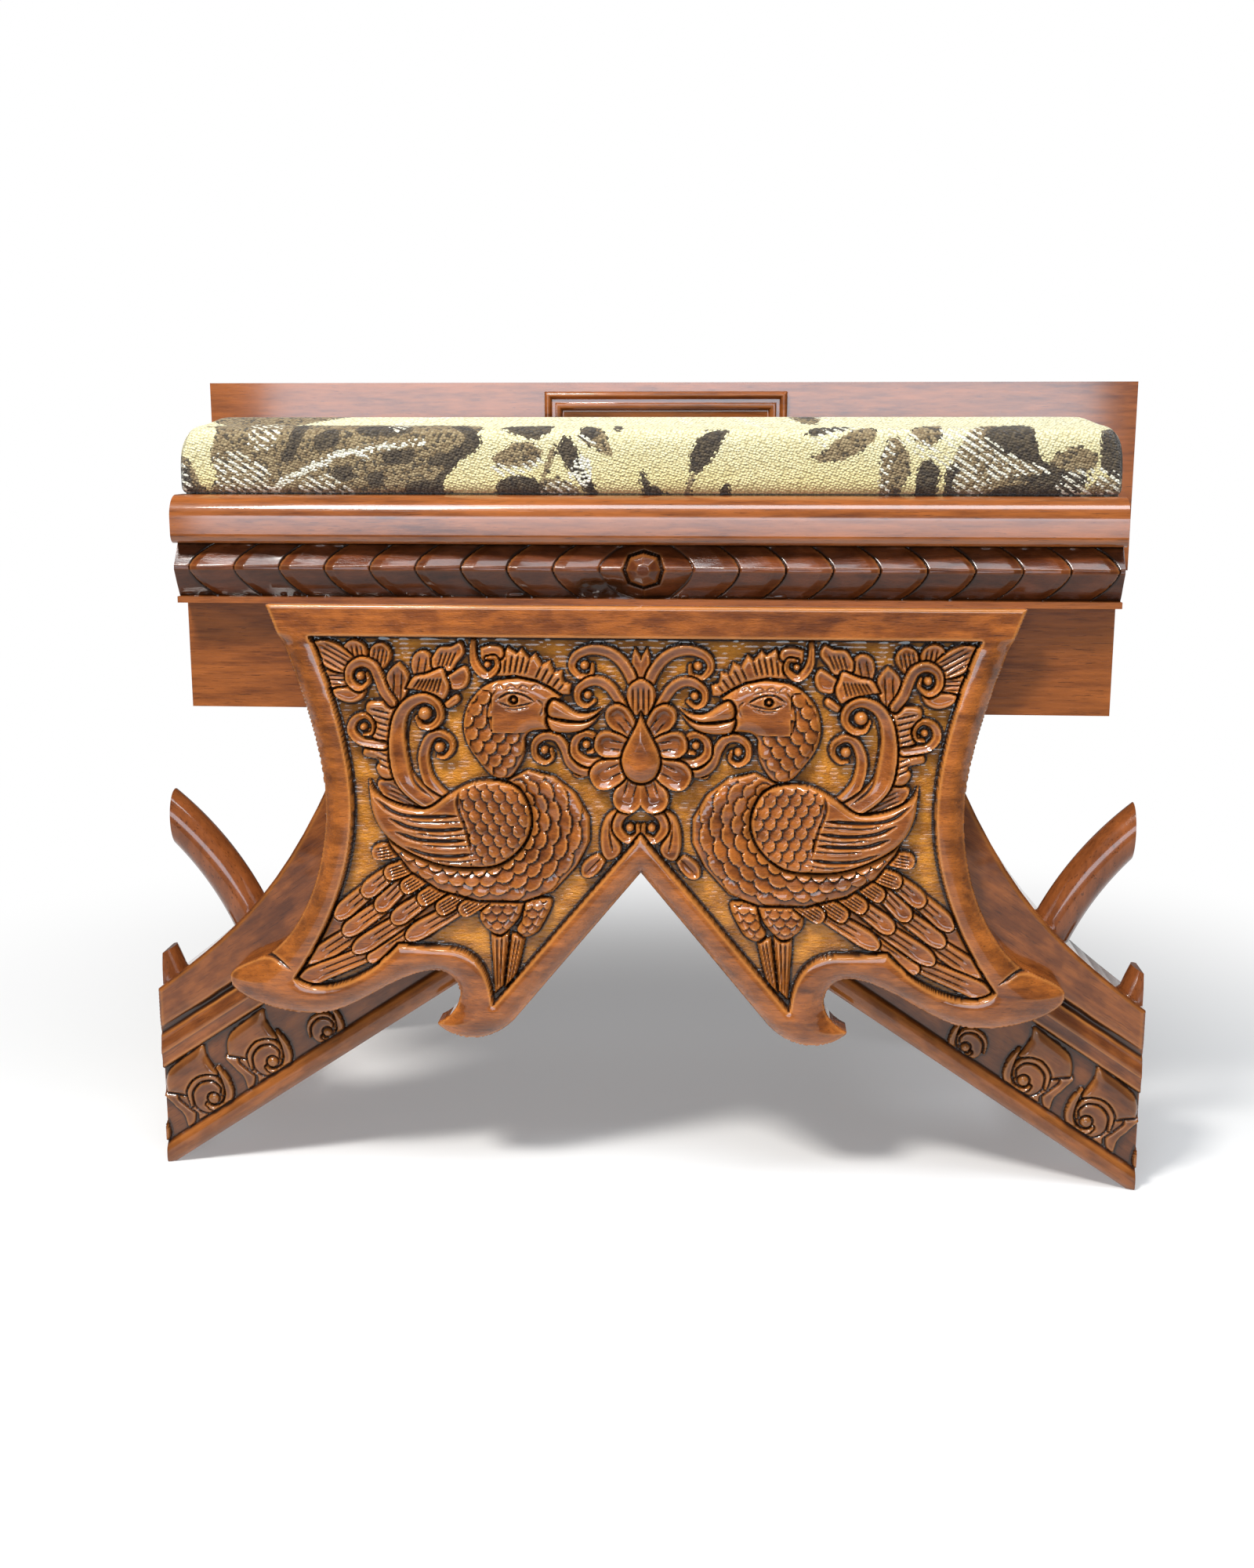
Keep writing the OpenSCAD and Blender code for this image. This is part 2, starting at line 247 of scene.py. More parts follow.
    def cut(self, points, width, depth):
        """A tapered gouge line."""
        path = flowing(points)
        window = self.near(path, width)
        d, s = nearest(self.x[window], self.z[window], path)[:2]
        total = path_length(path)
        taper = np.clip(np.minimum(s, total - s) / (0.2 * total) + 0.25, 0, 1)
        self.h[window] -= depth * taper * np.clip(1 - (d / (0.5 * width * taper)) ** 2, 0, 1)

    def gouges(self, first, last, ends, count, width=1.7, depth=1.2):
        """A row of gouge lines from one edge to another; ends are the other edge's two corners."""
        start, stop = np.array([first, ends[0]], float), np.array([last, ends[1]], float)
        for share in (np.arange(count) + 0.5) / count:
            self.cut((1 - share) * start + share * stop, width, depth)

    def hollow(self):
        """How deep in a crevice each point lies, from 0 to 1: where dark varnish gathers, and where
        shade is painted in crevices and round high relief.
        """
        fine = np.clip((blurred(self.h, 1.3 / self.step) - self.h) / 0.65 - 0.1, 0, 1)
        # The wide blur paints shade on the ground close to high relief.
        wide = np.clip((blurred(self.h, 4.0 / self.step) - self.h) / 2.6, 0, 1)
        return np.clip(0.95 * fine + 0.45 * wide, 0, 1)

    def crest(self):
        """How proud of its surroundings each point is, from 0 to 1: where edges wear light, and
        where a highlight is painted.
        """
        return np.clip((self.h - blurred(self.h, 1.0 / self.step)) / 0.5, 0, 1)


def scale_pattern(s, t, row, column):
    """Overlapping rounded scales whose free edges point towards +s: 0 at a root, 1 at an edge."""
    radius = 0.56 * column
    out = np.zeros(s.shape)
    taken = np.zeros(s.shape, bool)
    first = np.floor((s - radius) / row)
    for k in range(1, 6):
        i = first + k
        across = np.mod(t - 0.5 * column * np.mod(i, 2) + 0.5 * column, column) - 0.5 * column
        down = s - i * row
        covers = (down < 0) | (down ** 2 + across ** 2 < radius ** 2)
        new = covers & ~taken
        rim = np.clip((radius - np.hypot(np.clip(down, 0, None), across)) / 0.6, 0, 1)
        height = 0.5 + 0.5 * down / radius - 0.25 * (across / radius) ** 2 - 0.12 * (1 - rim)
        out[new] = height[new]
        taken |= new
    return out


# ------------------------------------------------------------------ meshes

SHARP = 55.0        # degrees beyond which an edge is shaded as an arris


def new_object(name, vertices, faces, material, body="frame", sharp=SHARP):
    mesh = bpy.data.meshes.new(name)
    mesh.from_pydata([tuple(v) for v in vertices], [], faces)
    mesh.validate()
    mesh.shade_smooth()
    mesh.set_sharp_from_angle(angle=math.radians(sharp))
    obj = bpy.data.objects.new(name, mesh)
    bpy.context.collection.objects.link(obj)
    mesh.materials.append(material)
    if body:
        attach(obj, body)
    return obj


def eased(obj, width, segments):
    """Takes the sharpness off a piece's edges; width is in millimetres."""
    ease = obj.modifiers.new("eased", "BEVEL")
    ease.width = width * MM
    ease.segments = segments
    return ease


def point_values(obj, name, values):
    """Stores one number per vertex for the materials to read."""
    layer = obj.data.attributes.new(name, "FLOAT", "POINT")
    layer.data.foreach_set("value", np.asarray(values, np.float32))


def weld(mesh, points, walls):
    """Joins outline points that fell on almost the same spot, and keeps the arris between carved
    front and wall crisp all round, so that the walls shade evenly."""
    work = bmesh.new()
    work.from_mesh(mesh)
    work.verts.ensure_lookup_table()
    work.faces.ensure_lookup_table()
    is_wall = work.faces.layers.int.new("is_wall")
    for face in work.faces[walls.start:walls.stop]:
        face[is_wall] = 1
    bmesh.ops.remove_doubles(work, verts=[work.verts[i] for i in points], dist=0.3 * MM)
    work.edges.index_update()
    arris = [edge.index for face in work.faces if face[is_wall] for edge in face.edges
             if any(not other[is_wall] for other in edge.link_faces)]
    work.faces.layers.int.remove(is_wall)
    work.to_mesh(mesh)
    work.free()
    mesh.set_sharp_from_angle(angle=math.radians(SHARP))
    for index in arris:
        mesh.edges[index].use_edge_sharp = True


def carved_solid(name, x, z, y, keep, back_y, values, material, flip=False):
    """A closed solid from a grid of front points, with straight walls to a flat back."""
    rows, cols = np.nonzero(keep)
    index = np.full(keep.shape, -1)
    index[rows, cols] = np.arange(len(rows))
    whole = keep[:-1, :-1] & keep[:-1, 1:] & keep[1:, 1:] & keep[1:, :-1]
    quads = np.stack([index[:-1, :-1][whole], index[:-1, 1:][whole],
                      index[1:, 1:][whole], index[1:, :-1][whole]], axis=1)
    if flip:
        quads = quads[:, ::-1]
    used, quads = np.unique(quads, return_inverse=True)
    quads = quads.reshape(-1, 4)
    rows, cols = rows[used], cols[used]
    count = len(used)
    front = np.stack([x[rows, cols], y[rows, cols], z[rows, cols]], axis=1)
    starts, ends = quads.ravel(), np.roll(quads, -1, axis=1).ravel()
    forward = starts.astype(np.int64) * count + ends
    rim = ~np.isin(forward, ends.astype(np.int64) * count + starts)
    a, b = starts[rim], ends[rim]
    edge_points = np.unique(a)
    back_index = np.full(count, -1)
    back_index[edge_points] = count + np.arange(len(edge_points))
    back = front[edge_points].copy()
    back[:, 1] = back_y
    walls = np.stack([b, a, back_index[a], back_index[b]], axis=1)
    follow = {}
    for p, q in zip(a.tolist(), b.tolist()):
        follow.setdefault(p, []).append(q)
    caps = []
    while follow:
        start = next(iter(follow))
        loop, here = [], start
        while here in follow:
            loop.append(here)
            onward = follow[here].pop()
            if not follow[here]:
                del follow[here]
            here = onward
            if here == start:
                break
        caps.append([int(back_index[p]) for p in reversed(loop)])
    faces = quads.tolist() + walls.tolist() + [c for c in caps if len(c) > 2]
    obj = new_object(name, np.vstack([front, back]) * MM, faces, material)
    for key, field in values.items():
        kept = field[rows, cols]
        kept[edge_points] = 0       # the walls take none of the front's painted shade, painted highlight or varnish marks
        point_values(obj, key, np.concatenate([kept, np.zeros(len(edge_points))]))
    weld(obj.data, edge_points.tolist() + list(range(count, count + len(edge_points))),
         range(len(quads), len(quads) + len(walls)))
    return obj


# ------------------------------------------------------------------ materials

class Nodes:
    """A node tree, written short. Sockets take a value or another node's output."""

    def __init__(self, tree):
        self.tree = tree

    def put(self, node, inputs):
        for socket, value in inputs.items():
            if isinstance(value, bpy.types.NodeSocket):
                self.tree.links.new(value, node.inputs[socket])
            else:
                node.inputs[socket].default_value = value

    def node(self, kind, inputs, **settings):
        node = self.tree.nodes.new(kind)
        for key, value in settings.items():
            setattr(node, key, value)
        self.put(node, inputs)
        return node

    def add(self, kind, inputs, output=0, **settings):
        """Adds a node and returns one of its outputs."""
        return self.node(kind, inputs, **settings).outputs[output]

    def maths(self, operation, a, b=0.0, c=0.0, clamp=False):
        return self.add("ShaderNodeMath", {0: a, 1: b, 2: c}, operation=operation, use_clamp=clamp)

    def times(self, a, b, clamp=False):
        return self.maths("MULTIPLY", a, b, clamp=clamp)

    def plus(self, a, b):
        return self.maths("ADD", a, b)

    def mixed(self, factor, a, b, blend="MIX"):
        return self.add("ShaderNodeMix", {0: factor, 6: a, 7: b}, 2, data_type="RGBA",
                        blend_type=blend)

    def ramp(self, value, stops):
        node = self.node("ShaderNodeValToRGB", {"Fac": value})
        line = node.color_ramp
        while len(line.elements) < len(stops):
            line.elements.new(0.5)
        for element, (place, colour) in zip(line.elements, stops):
            element.position = place
            element.color = (*colour, 1)
        return node.outputs["Color"]

    def noise(self, vector, scale, detail=3.0, rough=0.55):
        return self.add("ShaderNodeTexNoise", {"Vector": vector, "Scale": scale, "Detail": detail,
                                               "Roughness": rough}, "Fac")

    def mapped(self, vector, **mapping):
        sockets = {socket.capitalize(): value for socket, value in mapping.items()}
        return self.add("ShaderNodeMapping", {"Vector": vector, **sockets})

    def stretched(self, scale=(1, 1, 1), turn=0.0):
        """Object coordinates in metres, stretched along the grain and turned about Y."""
        place = self.add("ShaderNodeTexCoord", {}, "Object")
        return self.mapped(self.mapped(place, rotation=(0, turn, 0)), scale=scale)

    def stored(self, name, output="Fac"):
        """A value that the mesh carries on its points."""
        return self.add("ShaderNodeAttribute", {}, output, attribute_name=name)


class Look(Nodes):
    """A new material on the Principled shader."""

    def __init__(self, name):
        self.material = bpy.data.materials.new(name)
        self.material.use_nodes = True
        super().__init__(self.material.node_tree)
        self.shader = self.tree.nodes["Principled BSDF"]

    def finish(self, inputs, height=None, strength=0.0, distance=0.0006):
        """Fills the shader's sockets, with a bump from height, and returns the material."""
        if height is not None:
            inputs["Normal"] = self.add("ShaderNodeBump", {"Height": height, "Strength": strength,
                                                           "Distance": distance})
        self.put(self.shader, inputs)
        return self.material


def shaded(colour, share):
    return tuple(share * c for c in colour)


def varnished_teak(name, grain=(1.0, 9.0, 9.0), turn=0.0, pale=(0.36, 0.100, 0.014),
                   deep=(0.10, 0.024, 0.005), carved=False, gloss=0.26, bump=0.35,
                   coat=0.9, mirror=1.5):
    """Orange-brown varnished teak: streaked grain, fine pores, brush unevenness; carved pieces get
    dark varnish and painted shade in their hollows, and worn edges with a painted highlight."""
    look = Look(name)
    along = look.stretched(grain, turn)
    broad = look.noise(along, 7.0, 4.0, 0.6)
    streak = look.noise(along, 34.0, 5.0, 0.65)
    fibre = look.noise(look.stretched(tuple(np.multiply(grain, (14, 36, 36))), turn), 5.0)
    between = tuple(0.4 * a + 0.6 * b for a, b in zip(deep, pale))
    colour = look.ramp(look.plus(look.times(broad, 0.6), look.times(streak, 0.45)),
                       [(0.36, deep), (0.49, between), (0.60, pale), (0.75, shaded(pale, 1.25))])
    pores = look.maths("GREATER_THAN", fibre, 0.64)
    colour = look.mixed(look.times(pores, 0.6), colour, (*shaded(deep, 0.45), 1))
    rough = look.maths("MULTIPLY_ADD", look.noise(along, 12.0), 0.16, gloss - 0.05)
    height = look.plus(look.times(fibre, 0.5), look.times(streak, 0.7))
    if carved:
        hollow, crest, ground = (look.stored(field) for field in ("hollow", "crest", "ground"))
        gold = look.mixed(streak, (0.42, 0.135, 0.010, 1), (0.86, 0.350, 0.026, 1))
        colour = look.mixed(look.times(ground, 0.9), colour, gold)
        cloud = look.noise(look.stretched((1.0, 2.0, 2.0), turn), 45.0)
        stain = look.ramp(cloud, [(0.40, (0.52, 0.46, 0.42)), (0.58, (1.0, 1.0, 1.0))])
        colour = look.mixed(0.85, colour, stain, "MULTIPLY")
        # Painted highlight together with wear: proud edges are mixed towards a light orange.
        colour = look.mixed(look.times(crest, 0.5), colour, (0.60, 0.23, 0.050, 1))
        # Painted shade together with dark varnish: hollows are mixed towards near-black.
        varnish_and_shade = look.times(hollow, 1.15, clamp=True)
        colour = look.mixed(varnish_and_shade, colour, (0.024, 0.008, 0.003, 1))
        nicks = look.noise(look.stretched((1, 1, 2.2), turn), 420.0, 2.0)
        rough_cut = look.maths("MULTIPLY_ADD", ground, 2.2, 0.9)
        height = look.plus(height, look.times(nicks, rough_cut))
    return look.finish({"Base Color": colour, "Roughness": rough, "Coat Weight": coat,
                        "Coat IOR": mirror, "Coat Roughness": 0.09,
                        "Specular IOR Level": 0.12}, height, bump)


def raw_wood(name, colour, grain):
    """Unvarnished joinery wood with soft grain."""
    look = Look(name)
    streak = look.noise(look.stretched(grain), 30.0, 5.0, 0.6)
    tone = look.ramp(streak, [(0.35, shaded(colour, 0.62)), (0.7, colour)])
    return look.finish({"Base Color": tone, "Roughness": 0.72}, streak, 0.35)


def plain_cloth(name, colour, scale):
    """Foam or non-woven cloth: a fine open grain."""
    look = Look(name)
    cells = look.add("ShaderNodeTexVoronoi", {"Vector": look.stretched(), "Scale": scale},
                     "Distance")
    tone = look.ramp(cells, [(0.0, colour), (0.8, shaded(colour, 0.6))])
    return look.finish({"Base Color": tone, "Roughness": 0.95}, cells, 0.5, 0.0005)


def screw_steel(name):
    look = Look(name)
    smear = look.noise(look.stretched(), 900.0, 2.0)
    tone = look.ramp(smear, [(0.3, (0.30, 0.28, 0.25)), (0.7, (0.52, 0.50, 0.47))])
    return look.finish({"Base Color": tone, "Metallic": 1.0, "Roughness": 0.38})


HATCH_PITCH = 0.0040    # m between the fabric's slanted white lines


def floral_moquette(name):
    """Looped pile in cream with brown, tan and near-black flowers. The motif's edges come as
    distances stored on the mesh, and break up loop by loop."""
    look = Look(name)
    place = look.stored("cloth", "Vector")
    rows = look.mapped(place, rotation=(0, 0, 0.35), scale=(1.0, 1.25, 1.0))
    loops = look.node("ShaderNodeTexVoronoi", {"Vector": rows, "Scale": 520.0, "Randomness": 0.55})
    distance = loops.outputs["Distance"]
    loop_tone = look.add("ShaderNodeSeparateColor", {"Color": loops.outputs["Color"]})
    jitter = look.times(look.maths("SUBTRACT", loop_tone, 0.5), 2.6)

    def motif(field):
        return look.times(look.plus(look.stored(field), jitter), 4.0, clamp=True)

    def second(vector):
        return look.add("ShaderNodeSeparateXYZ", {0: vector}, "Y")

    def loop_mix(a, b):
        return look.mixed(loop_tone, (*a, 1), (*b, 1))

    def loops_above(share):
        return look.maths("GREATER_THAN", loop_tone, share)

    # Painted light: the cream turns lighter up the front and over the top of the cushion, where the
    # light falls on it.
    painted_top_light = look.maths("MULTIPLY_ADD", second(place), 16.0, -0.15, clamp=True)
    cloud = look.maths("MULTIPLY_ADD", look.noise(place, 22.0), 0.6, painted_top_light, clamp=True)
    cream = look.mixed(cloud, (0.73, 0.61, 0.25, 1), (0.86, 0.81, 0.54, 1))
    taupe = loop_mix((0.20, 0.135, 0.065), (0.40, 0.31, 0.17))
    tan = look.mixed(loops_above(0.80), taupe, (0.075, 0.055, 0.032, 1))
    brown = loop_mix((0.028, 0.019, 0.013), (0.11, 0.080, 0.045))
    white = loop_mix((0.62, 0.60, 0.46), (0.90, 0.89, 0.78))
    across = second(look.mapped(place, rotation=(0, 0, 0.6)))
    waves = look.maths("SINE", look.times(across, 2 * math.pi / HATCH_PITCH))
    checks = look.times(look.maths("GREATER_THAN", waves, 0.0), loops_above(0.30))
    colour = look.mixed(motif("tan"), cream, tan)
    colour = look.mixed(motif("dark"), colour, brown)
    colour = look.mixed(look.times(motif("hatch"), checks), colour, white)
    colour = look.mixed(look.times(motif("light"), loops_above(0.25)), colour, white)
    shadow = look.ramp(distance, [(0.25, (1, 1, 1)), (0.75, (0.42, 0.38, 0.30))])
    colour = look.mixed(0.85, colour, shadow, "MULTIPLY")
    return look.finish({"Base Color": colour, "Roughness": 0.88, "Sheen Weight": 0.25,
                        "Sheen Roughness": 0.5}, look.maths("SUBTRACT", 1.0, distance), 0.9, 0.0016)


LEG_SLOPE = math.radians(33.8)
# Painted shade: the legs' teak is a darker copy of the carved teak, as they stand low down under
# the plaque's flare.
LEG_PALE_PAINTED_SHADE = (0.24, 0.068, 0.012)
teak_along_x = varnished_teak("teak_along_x", grain=(1.0, 9.0, 9.0), pale=(0.30, 0.085, 0.016),
                              mirror=1.65)
teak_along_y = varnished_teak("teak_along_y", grain=(9.0, 1.0, 9.0))
teak_carved = varnished_teak("teak_carved", carved=True, gloss=0.24, bump=0.8)
teak_leg_right_painted_shade = varnished_teak("teak_leg_right_painted_shade", turn=-LEG_SLOPE, carved=True, pale=LEG_PALE_PAINTED_SHADE)
teak_leg_left_painted_shade = varnished_teak("teak_leg_left_painted_shade", turn=LEG_SLOPE, carved=True, pale=LEG_PALE_PAINTED_SHADE)
teak_rod = varnished_teak("teak_rod", grain=(6.0, 8.0, 2.0), pale=(0.22, 0.062, 0.016),
                          deep=(0.09, 0.024, 0.007), gloss=0.2)
teak_rope = varnished_teak("teak_rope", carved=True, pale=(0.17, 0.043, 0.012),
                           deep=(0.055, 0.014, 0.005), gloss=0.2, coat=0.5)
joinery = raw_wood("joinery_wood", (0.55, 0.36, 0.19), (9.0, 1.5, 9.0))
plywood = raw_wood("plywood_face", (0.66, 0.48, 0.28), (1.0, 6.0, 40.0))
fabric = floral_moquette("floral_moquette")
foam_cells = plain_cloth("foam_cells", (0.86, 0.78, 0.52), 700.0)
dust_cloth = plain_cloth("dust_cloth", (0.03, 0.03, 0.032), 900.0)
steel = screw_steel("screw_steel")

CAD_LOOKS = {
    teak_along_x: ["front_rail", "front_apron", "rear_rail", "back_board"],
    teak_along_y: ["left_stretcher", "right_stretcher", "left_end_rail", "right_end_rail"],
    teak_leg_right_painted_shade: ["right_rear_leg"],
    teak_leg_left_painted_shade: ["left_rear_leg"],
    teak_rod: ["left_outer_rod", "right_outer_rod", "left_inner_rod", "right_inner_rod"],
    joinery: ["front_leg_tongue", "rear_leg_tongue", "corner_blocks", "front_ledger", "rear_ledger",
              "seat_slats"],
    plywood: ["cushion_board"],
    foam_cells: ["cushion_foam"],
    dust_cloth: ["cushion_dust_cover"],
    steel: ["slat_screws", "plaque_screws", "rear_leg_screws", "back_board_screws",
            "cushion_tacks"],
}
for look, names in CAD_LOOKS.items():
    for node_name in names:
        mesh = nodes[node_name].data
        mesh.materials.clear()
        mesh.materials.append(look)


# ------------------------------------------------------------------ the carved plaque

PLAQUE_EDGE = np.array(
    [(0, 392)]
    + curve((239, 392), (222, 347), (207, 302), (206, 267))
    + curve((206, 267), (205, 224), (220, 180), (246, 160))
    + curve((246, 160), (258, 153), (277, 150), (275, 140))
    + curve((275, 140), (273, 128), (240, 117), (220, 118))
    + curve((220, 118), (190, 118), (166, 148), (136, 150))
    + curve((136, 150), (118, 150), (112, 124), (136, 113))
    + curve((136, 113), (124, 101), (102, 98), (84, 117))
    + [(84, 117), (0, 219)])
PLAQUE_FIELD = np.array(
    [(0, 371)]
    + curve((211, 371), (200, 342), (188, 302), (187, 267))
    + curve((187, 267), (186, 227), (199, 188), (229, 144))
    + curve((229, 144), (224, 134), (190, 134), (160, 168))
    + curve((160, 168), (150, 168), (138, 167), (128, 167))
    + curve((128, 167), (108, 166), (99, 152), (97, 129))
    + [(97, 129), (0, 245)])

BREAST = [(88, 279), (73, 286), (56, 282), (42, 271), (33, 255), (33, 239), (41, 223), (57, 205),
          (76, 198), (107, 198), (133, 205), (151, 217), (164, 234)]
WING_UNDER = [(79, 274), (72, 262), (71, 248), (78, 234), (93, 223), (113, 221), (132, 223),
              (152, 231), (167, 242), (175, 258)]
WING_OVER = [(177, 280), (171, 270), (155, 262), (138, 261), (124, 270), (108, 278), (92, 279)]
HEAD = [(50, 334), (61, 342), (72, 346), (82, 346), (93, 344), (101, 340), (110, 330), (114, 319),
        (114, 309), (111, 300), (104, 290), (97, 282), (91, 280), (84, 281), (79, 287), (75, 295),
        (74, 302), (74, 307), (70, 311), (61, 312), (53, 312), (56, 315), (58, 320), (56, 327)]
WING_GROOVES = [[(172, 267), (160, 258), (145, 255), (117, 256)],
                [(163, 254), (150, 248), (132, 246), (112, 248)],
                [(159, 245), (145, 240), (129, 239), (112, 240)],
                [(153, 235), (139, 230), (122, 229), (108, 231)]]
TAIL = [  # rows from the tail's far end inwards: half-way point and tip of each feather
    (13.5, 6.4, 1.1, [((207, 163), (222, 153)), ((208, 149), (232, 139))]),
    (12.5, 7.4, 0.45, [((164, 167), (181, 156)), ((174, 173), (191, 162)), ((183, 184), (197, 174)),
                       ((190, 195), (202, 185))]),
    (12.5, 8.4, 0.45, [((138, 182), (155, 172)), ((153, 191), (164, 183)), ((165, 200), (174, 191)),
                       ((173, 209), (183, 201))]),
]
FAN = [((170, 230), (176, 229)), ((162, 217), (168, 215)), ((152, 208), (157, 205)),
       ((141, 200), (146, 197)), ((129, 194), (134, 191)), ((114, 193), (119, 190))]
LEGS = [[(85, 177), (75, 176), (82, 146), (91, 137)],
        [(99, 178), (86, 178), (90, 141), (97, 134)]]
THIGHS = [(203, [(78, 200), (78, 187), (82, 179), (77, 174), (71, 175), (65, 181), (58, 200)]),
          (200, [(105, 202), (106, 186), (100, 178), (92, 175), (84, 181), (78, 190), (78, 202)])]
FACE_LINES = [([(96, 312), (98, 322), (96, 332), (91, 340)], 1.6, 1.3),
              ([(88, 338), (80, 339), (71, 337)], 1.4, 0.9),
              ([(87, 327), (80, 326), (71, 328)], 1.4, 0.9),
              ([(66, 333), (62, 329), (64, 322)], 1.5, 1.0)]


def feather(r, middle, tip, back, *sizes, **shape):
    """A leaf through a point on its middle, whose base lies further back on the same line."""
    middle, tip = np.array(middle, float), np.array(tip, float)
    r.leaf(middle - back * (tip - middle), tip, *sizes, **shape)


def add_scales(r, window, where, depth, scales, deep, sink, slope):
    """Adds scales to part of a mound, fading out towards its edge."""
    r.h[window] += np.where(where, deep * (scales - sink) * np.clip(depth / slope, 0, 1), 0)


def carve_bird(r):
    """The bird at the side of the flower, turned towards it, its tail down the corner."""
    r.mound([(183, 208), (204, 190), (214, 172), (226, 158), (234, 141), (212, 141), (190, 152),
             (168, 162), (140, 172), (128, 184), (130, 192), (165, 215)], 3.2, 3)
    for width, top, point, feathers in TAIL:
        for middle, tip in feathers:
            feather(r, middle, tip, 1.3, width, top, 3.6, 3, fat=0.72, point=point, dish=0.12,
                    groove=1.1, root=0.8, reach=0.62)
    for leg in LEGS:
        r.mound(leg, 6.6, 3.5, 2.0, rounded=False)
        a, b, c, d = leg
        r.gouges(a, b, (d, c), 4, 1.5, 1.4)
    for root, thigh in THIGHS:
        window, depth = r.mound(thigh, 7.6, 6, 1.0)
        scales = scale_pattern(root - r.z[window], r.x[window] - thigh[0][0], 5.4, 7.4)
        add_scales(r, window, depth > 0, depth, scales, 3.2, 0.6, 2)
    for middle, tip in FAN:
        feather(r, middle, tip, 2.6, 11.5, 8.6, 5.0, 5, fat=0.7, point=0.4, dish=0.1, groove=1.3,
                root=0.8, reach=0.8)

    under = flowing(WING_UNDER, 2)
    window, depth = r.mound(BREAST + WING_UNDER[::-1], 8.6, 11, 1.5, rounded=False)
    d, s = nearest(r.x[window], r.z[window], under)[:2]
    add_scales(r, window, depth > 0, depth, scale_pattern(d, s, 7.0, 9.4), 4.2, 0.72, 3)

    window, depth = r.mound(WING_OVER + WING_UNDER, 9.9, 4.5, 3.5)
    x, z = r.x[window], r.z[window]
    feathers = x > np.interp(z, [231, 245, 258, 274], [110, 112, 118, 115])
    scales = scale_pattern(0.88 * x - 0.47 * z, 0.88 * z + 0.47 * x, 6.8, 8.6)
    add_scales(r, window, (depth > 0) & ~feathers, depth, scales, 3.8, 0.72, 3)
    for line in WING_GROOVES:
        line = np.array(line, float)
        r.cut(line, 3.6, 2.8)
        r.cut(line[1:] - (3, 3.6), 1.7, 1.2)
    r.cut([(117, 274), (118, 262), (113, 247), (110, 232)], 2.6, 2.0)

    window, depth = r.mound(HEAD, 9.8, 9, 2.5)
    x, z = r.x[window], r.z[window]
    scales = scale_pattern(-0.80 * x - 0.60 * z, 0.80 * z - 0.60 * x, 7.4, 9.4)
    plumage = (depth > 0) & ((x > 95) | (z < 311)) & (z < 338)
    add_scales(r, window, plumage, depth, scales, 3.8, 0.75, 2.5)
    r.mound([(25, 323), (32, 315), (40, 311), (50, 310), (58, 312), (60, 321), (48, 318),
             (35, 319)], 7.4, 4, 1.5)
    r.mound([(23, 328), (29, 325), (40, 324), (50, 330), (56, 333), (60, 328), (59, 321),
             (50, 319), (38, 318), (30, 321)], 8.8, 5, 2.0)
    for line, width, deep in FACE_LINES:
        r.cut(line, width, deep)
    for i in range(5):
        r.cut([(94 - 8 * i, 339), (91 - 8 * i, 341.5), (87 - 8 * i, 339.5)], 1.6, 1.0)
    r.button((81, 332), 2.2, 9.0)
    r.cut([(92, 332), (84, 336.5), (75, 335.5), (67, 331)], 1.9, 1.9)
    r.cut([(91, 331), (83, 328), (75, 329), (68, 331)], 1.6, 1.5)

    comb = [(94, 346), (92, 360), (87, 362), (85, 366), (79, 362), (76, 365), (71, 359), (67, 362),
            (63, 355), (58, 357), (55, 350), (50, 351), (49, 344), (44, 342), (45, 335), (50, 335),
            (58, 340), (66, 344), (80, 347)]
    r.mound(comb, 8.2, 3, 3.5, rounded=False)
    r.gouges((92, 348), (72, 348), ((91, 362), (68, 360)), 6, 1.9, 1.7)
    r.gouges((69, 346), (51, 337), ((64, 357), (46, 342)), 5, 1.9, 1.7)
    r.mound([(103, 365), (95, 367), (88, 365), (88, 358), (101, 356)], 6.6, 3, 2.5, 1.0)
    r.scroll([(107, 369), (107, 358), (104, 351), (98, 347), (92, 352), (93, 358), (98, 358)],
             [4, 5, 6, 6, 5, 4, 3], 8.2, (98, 354), 2.4, 1)


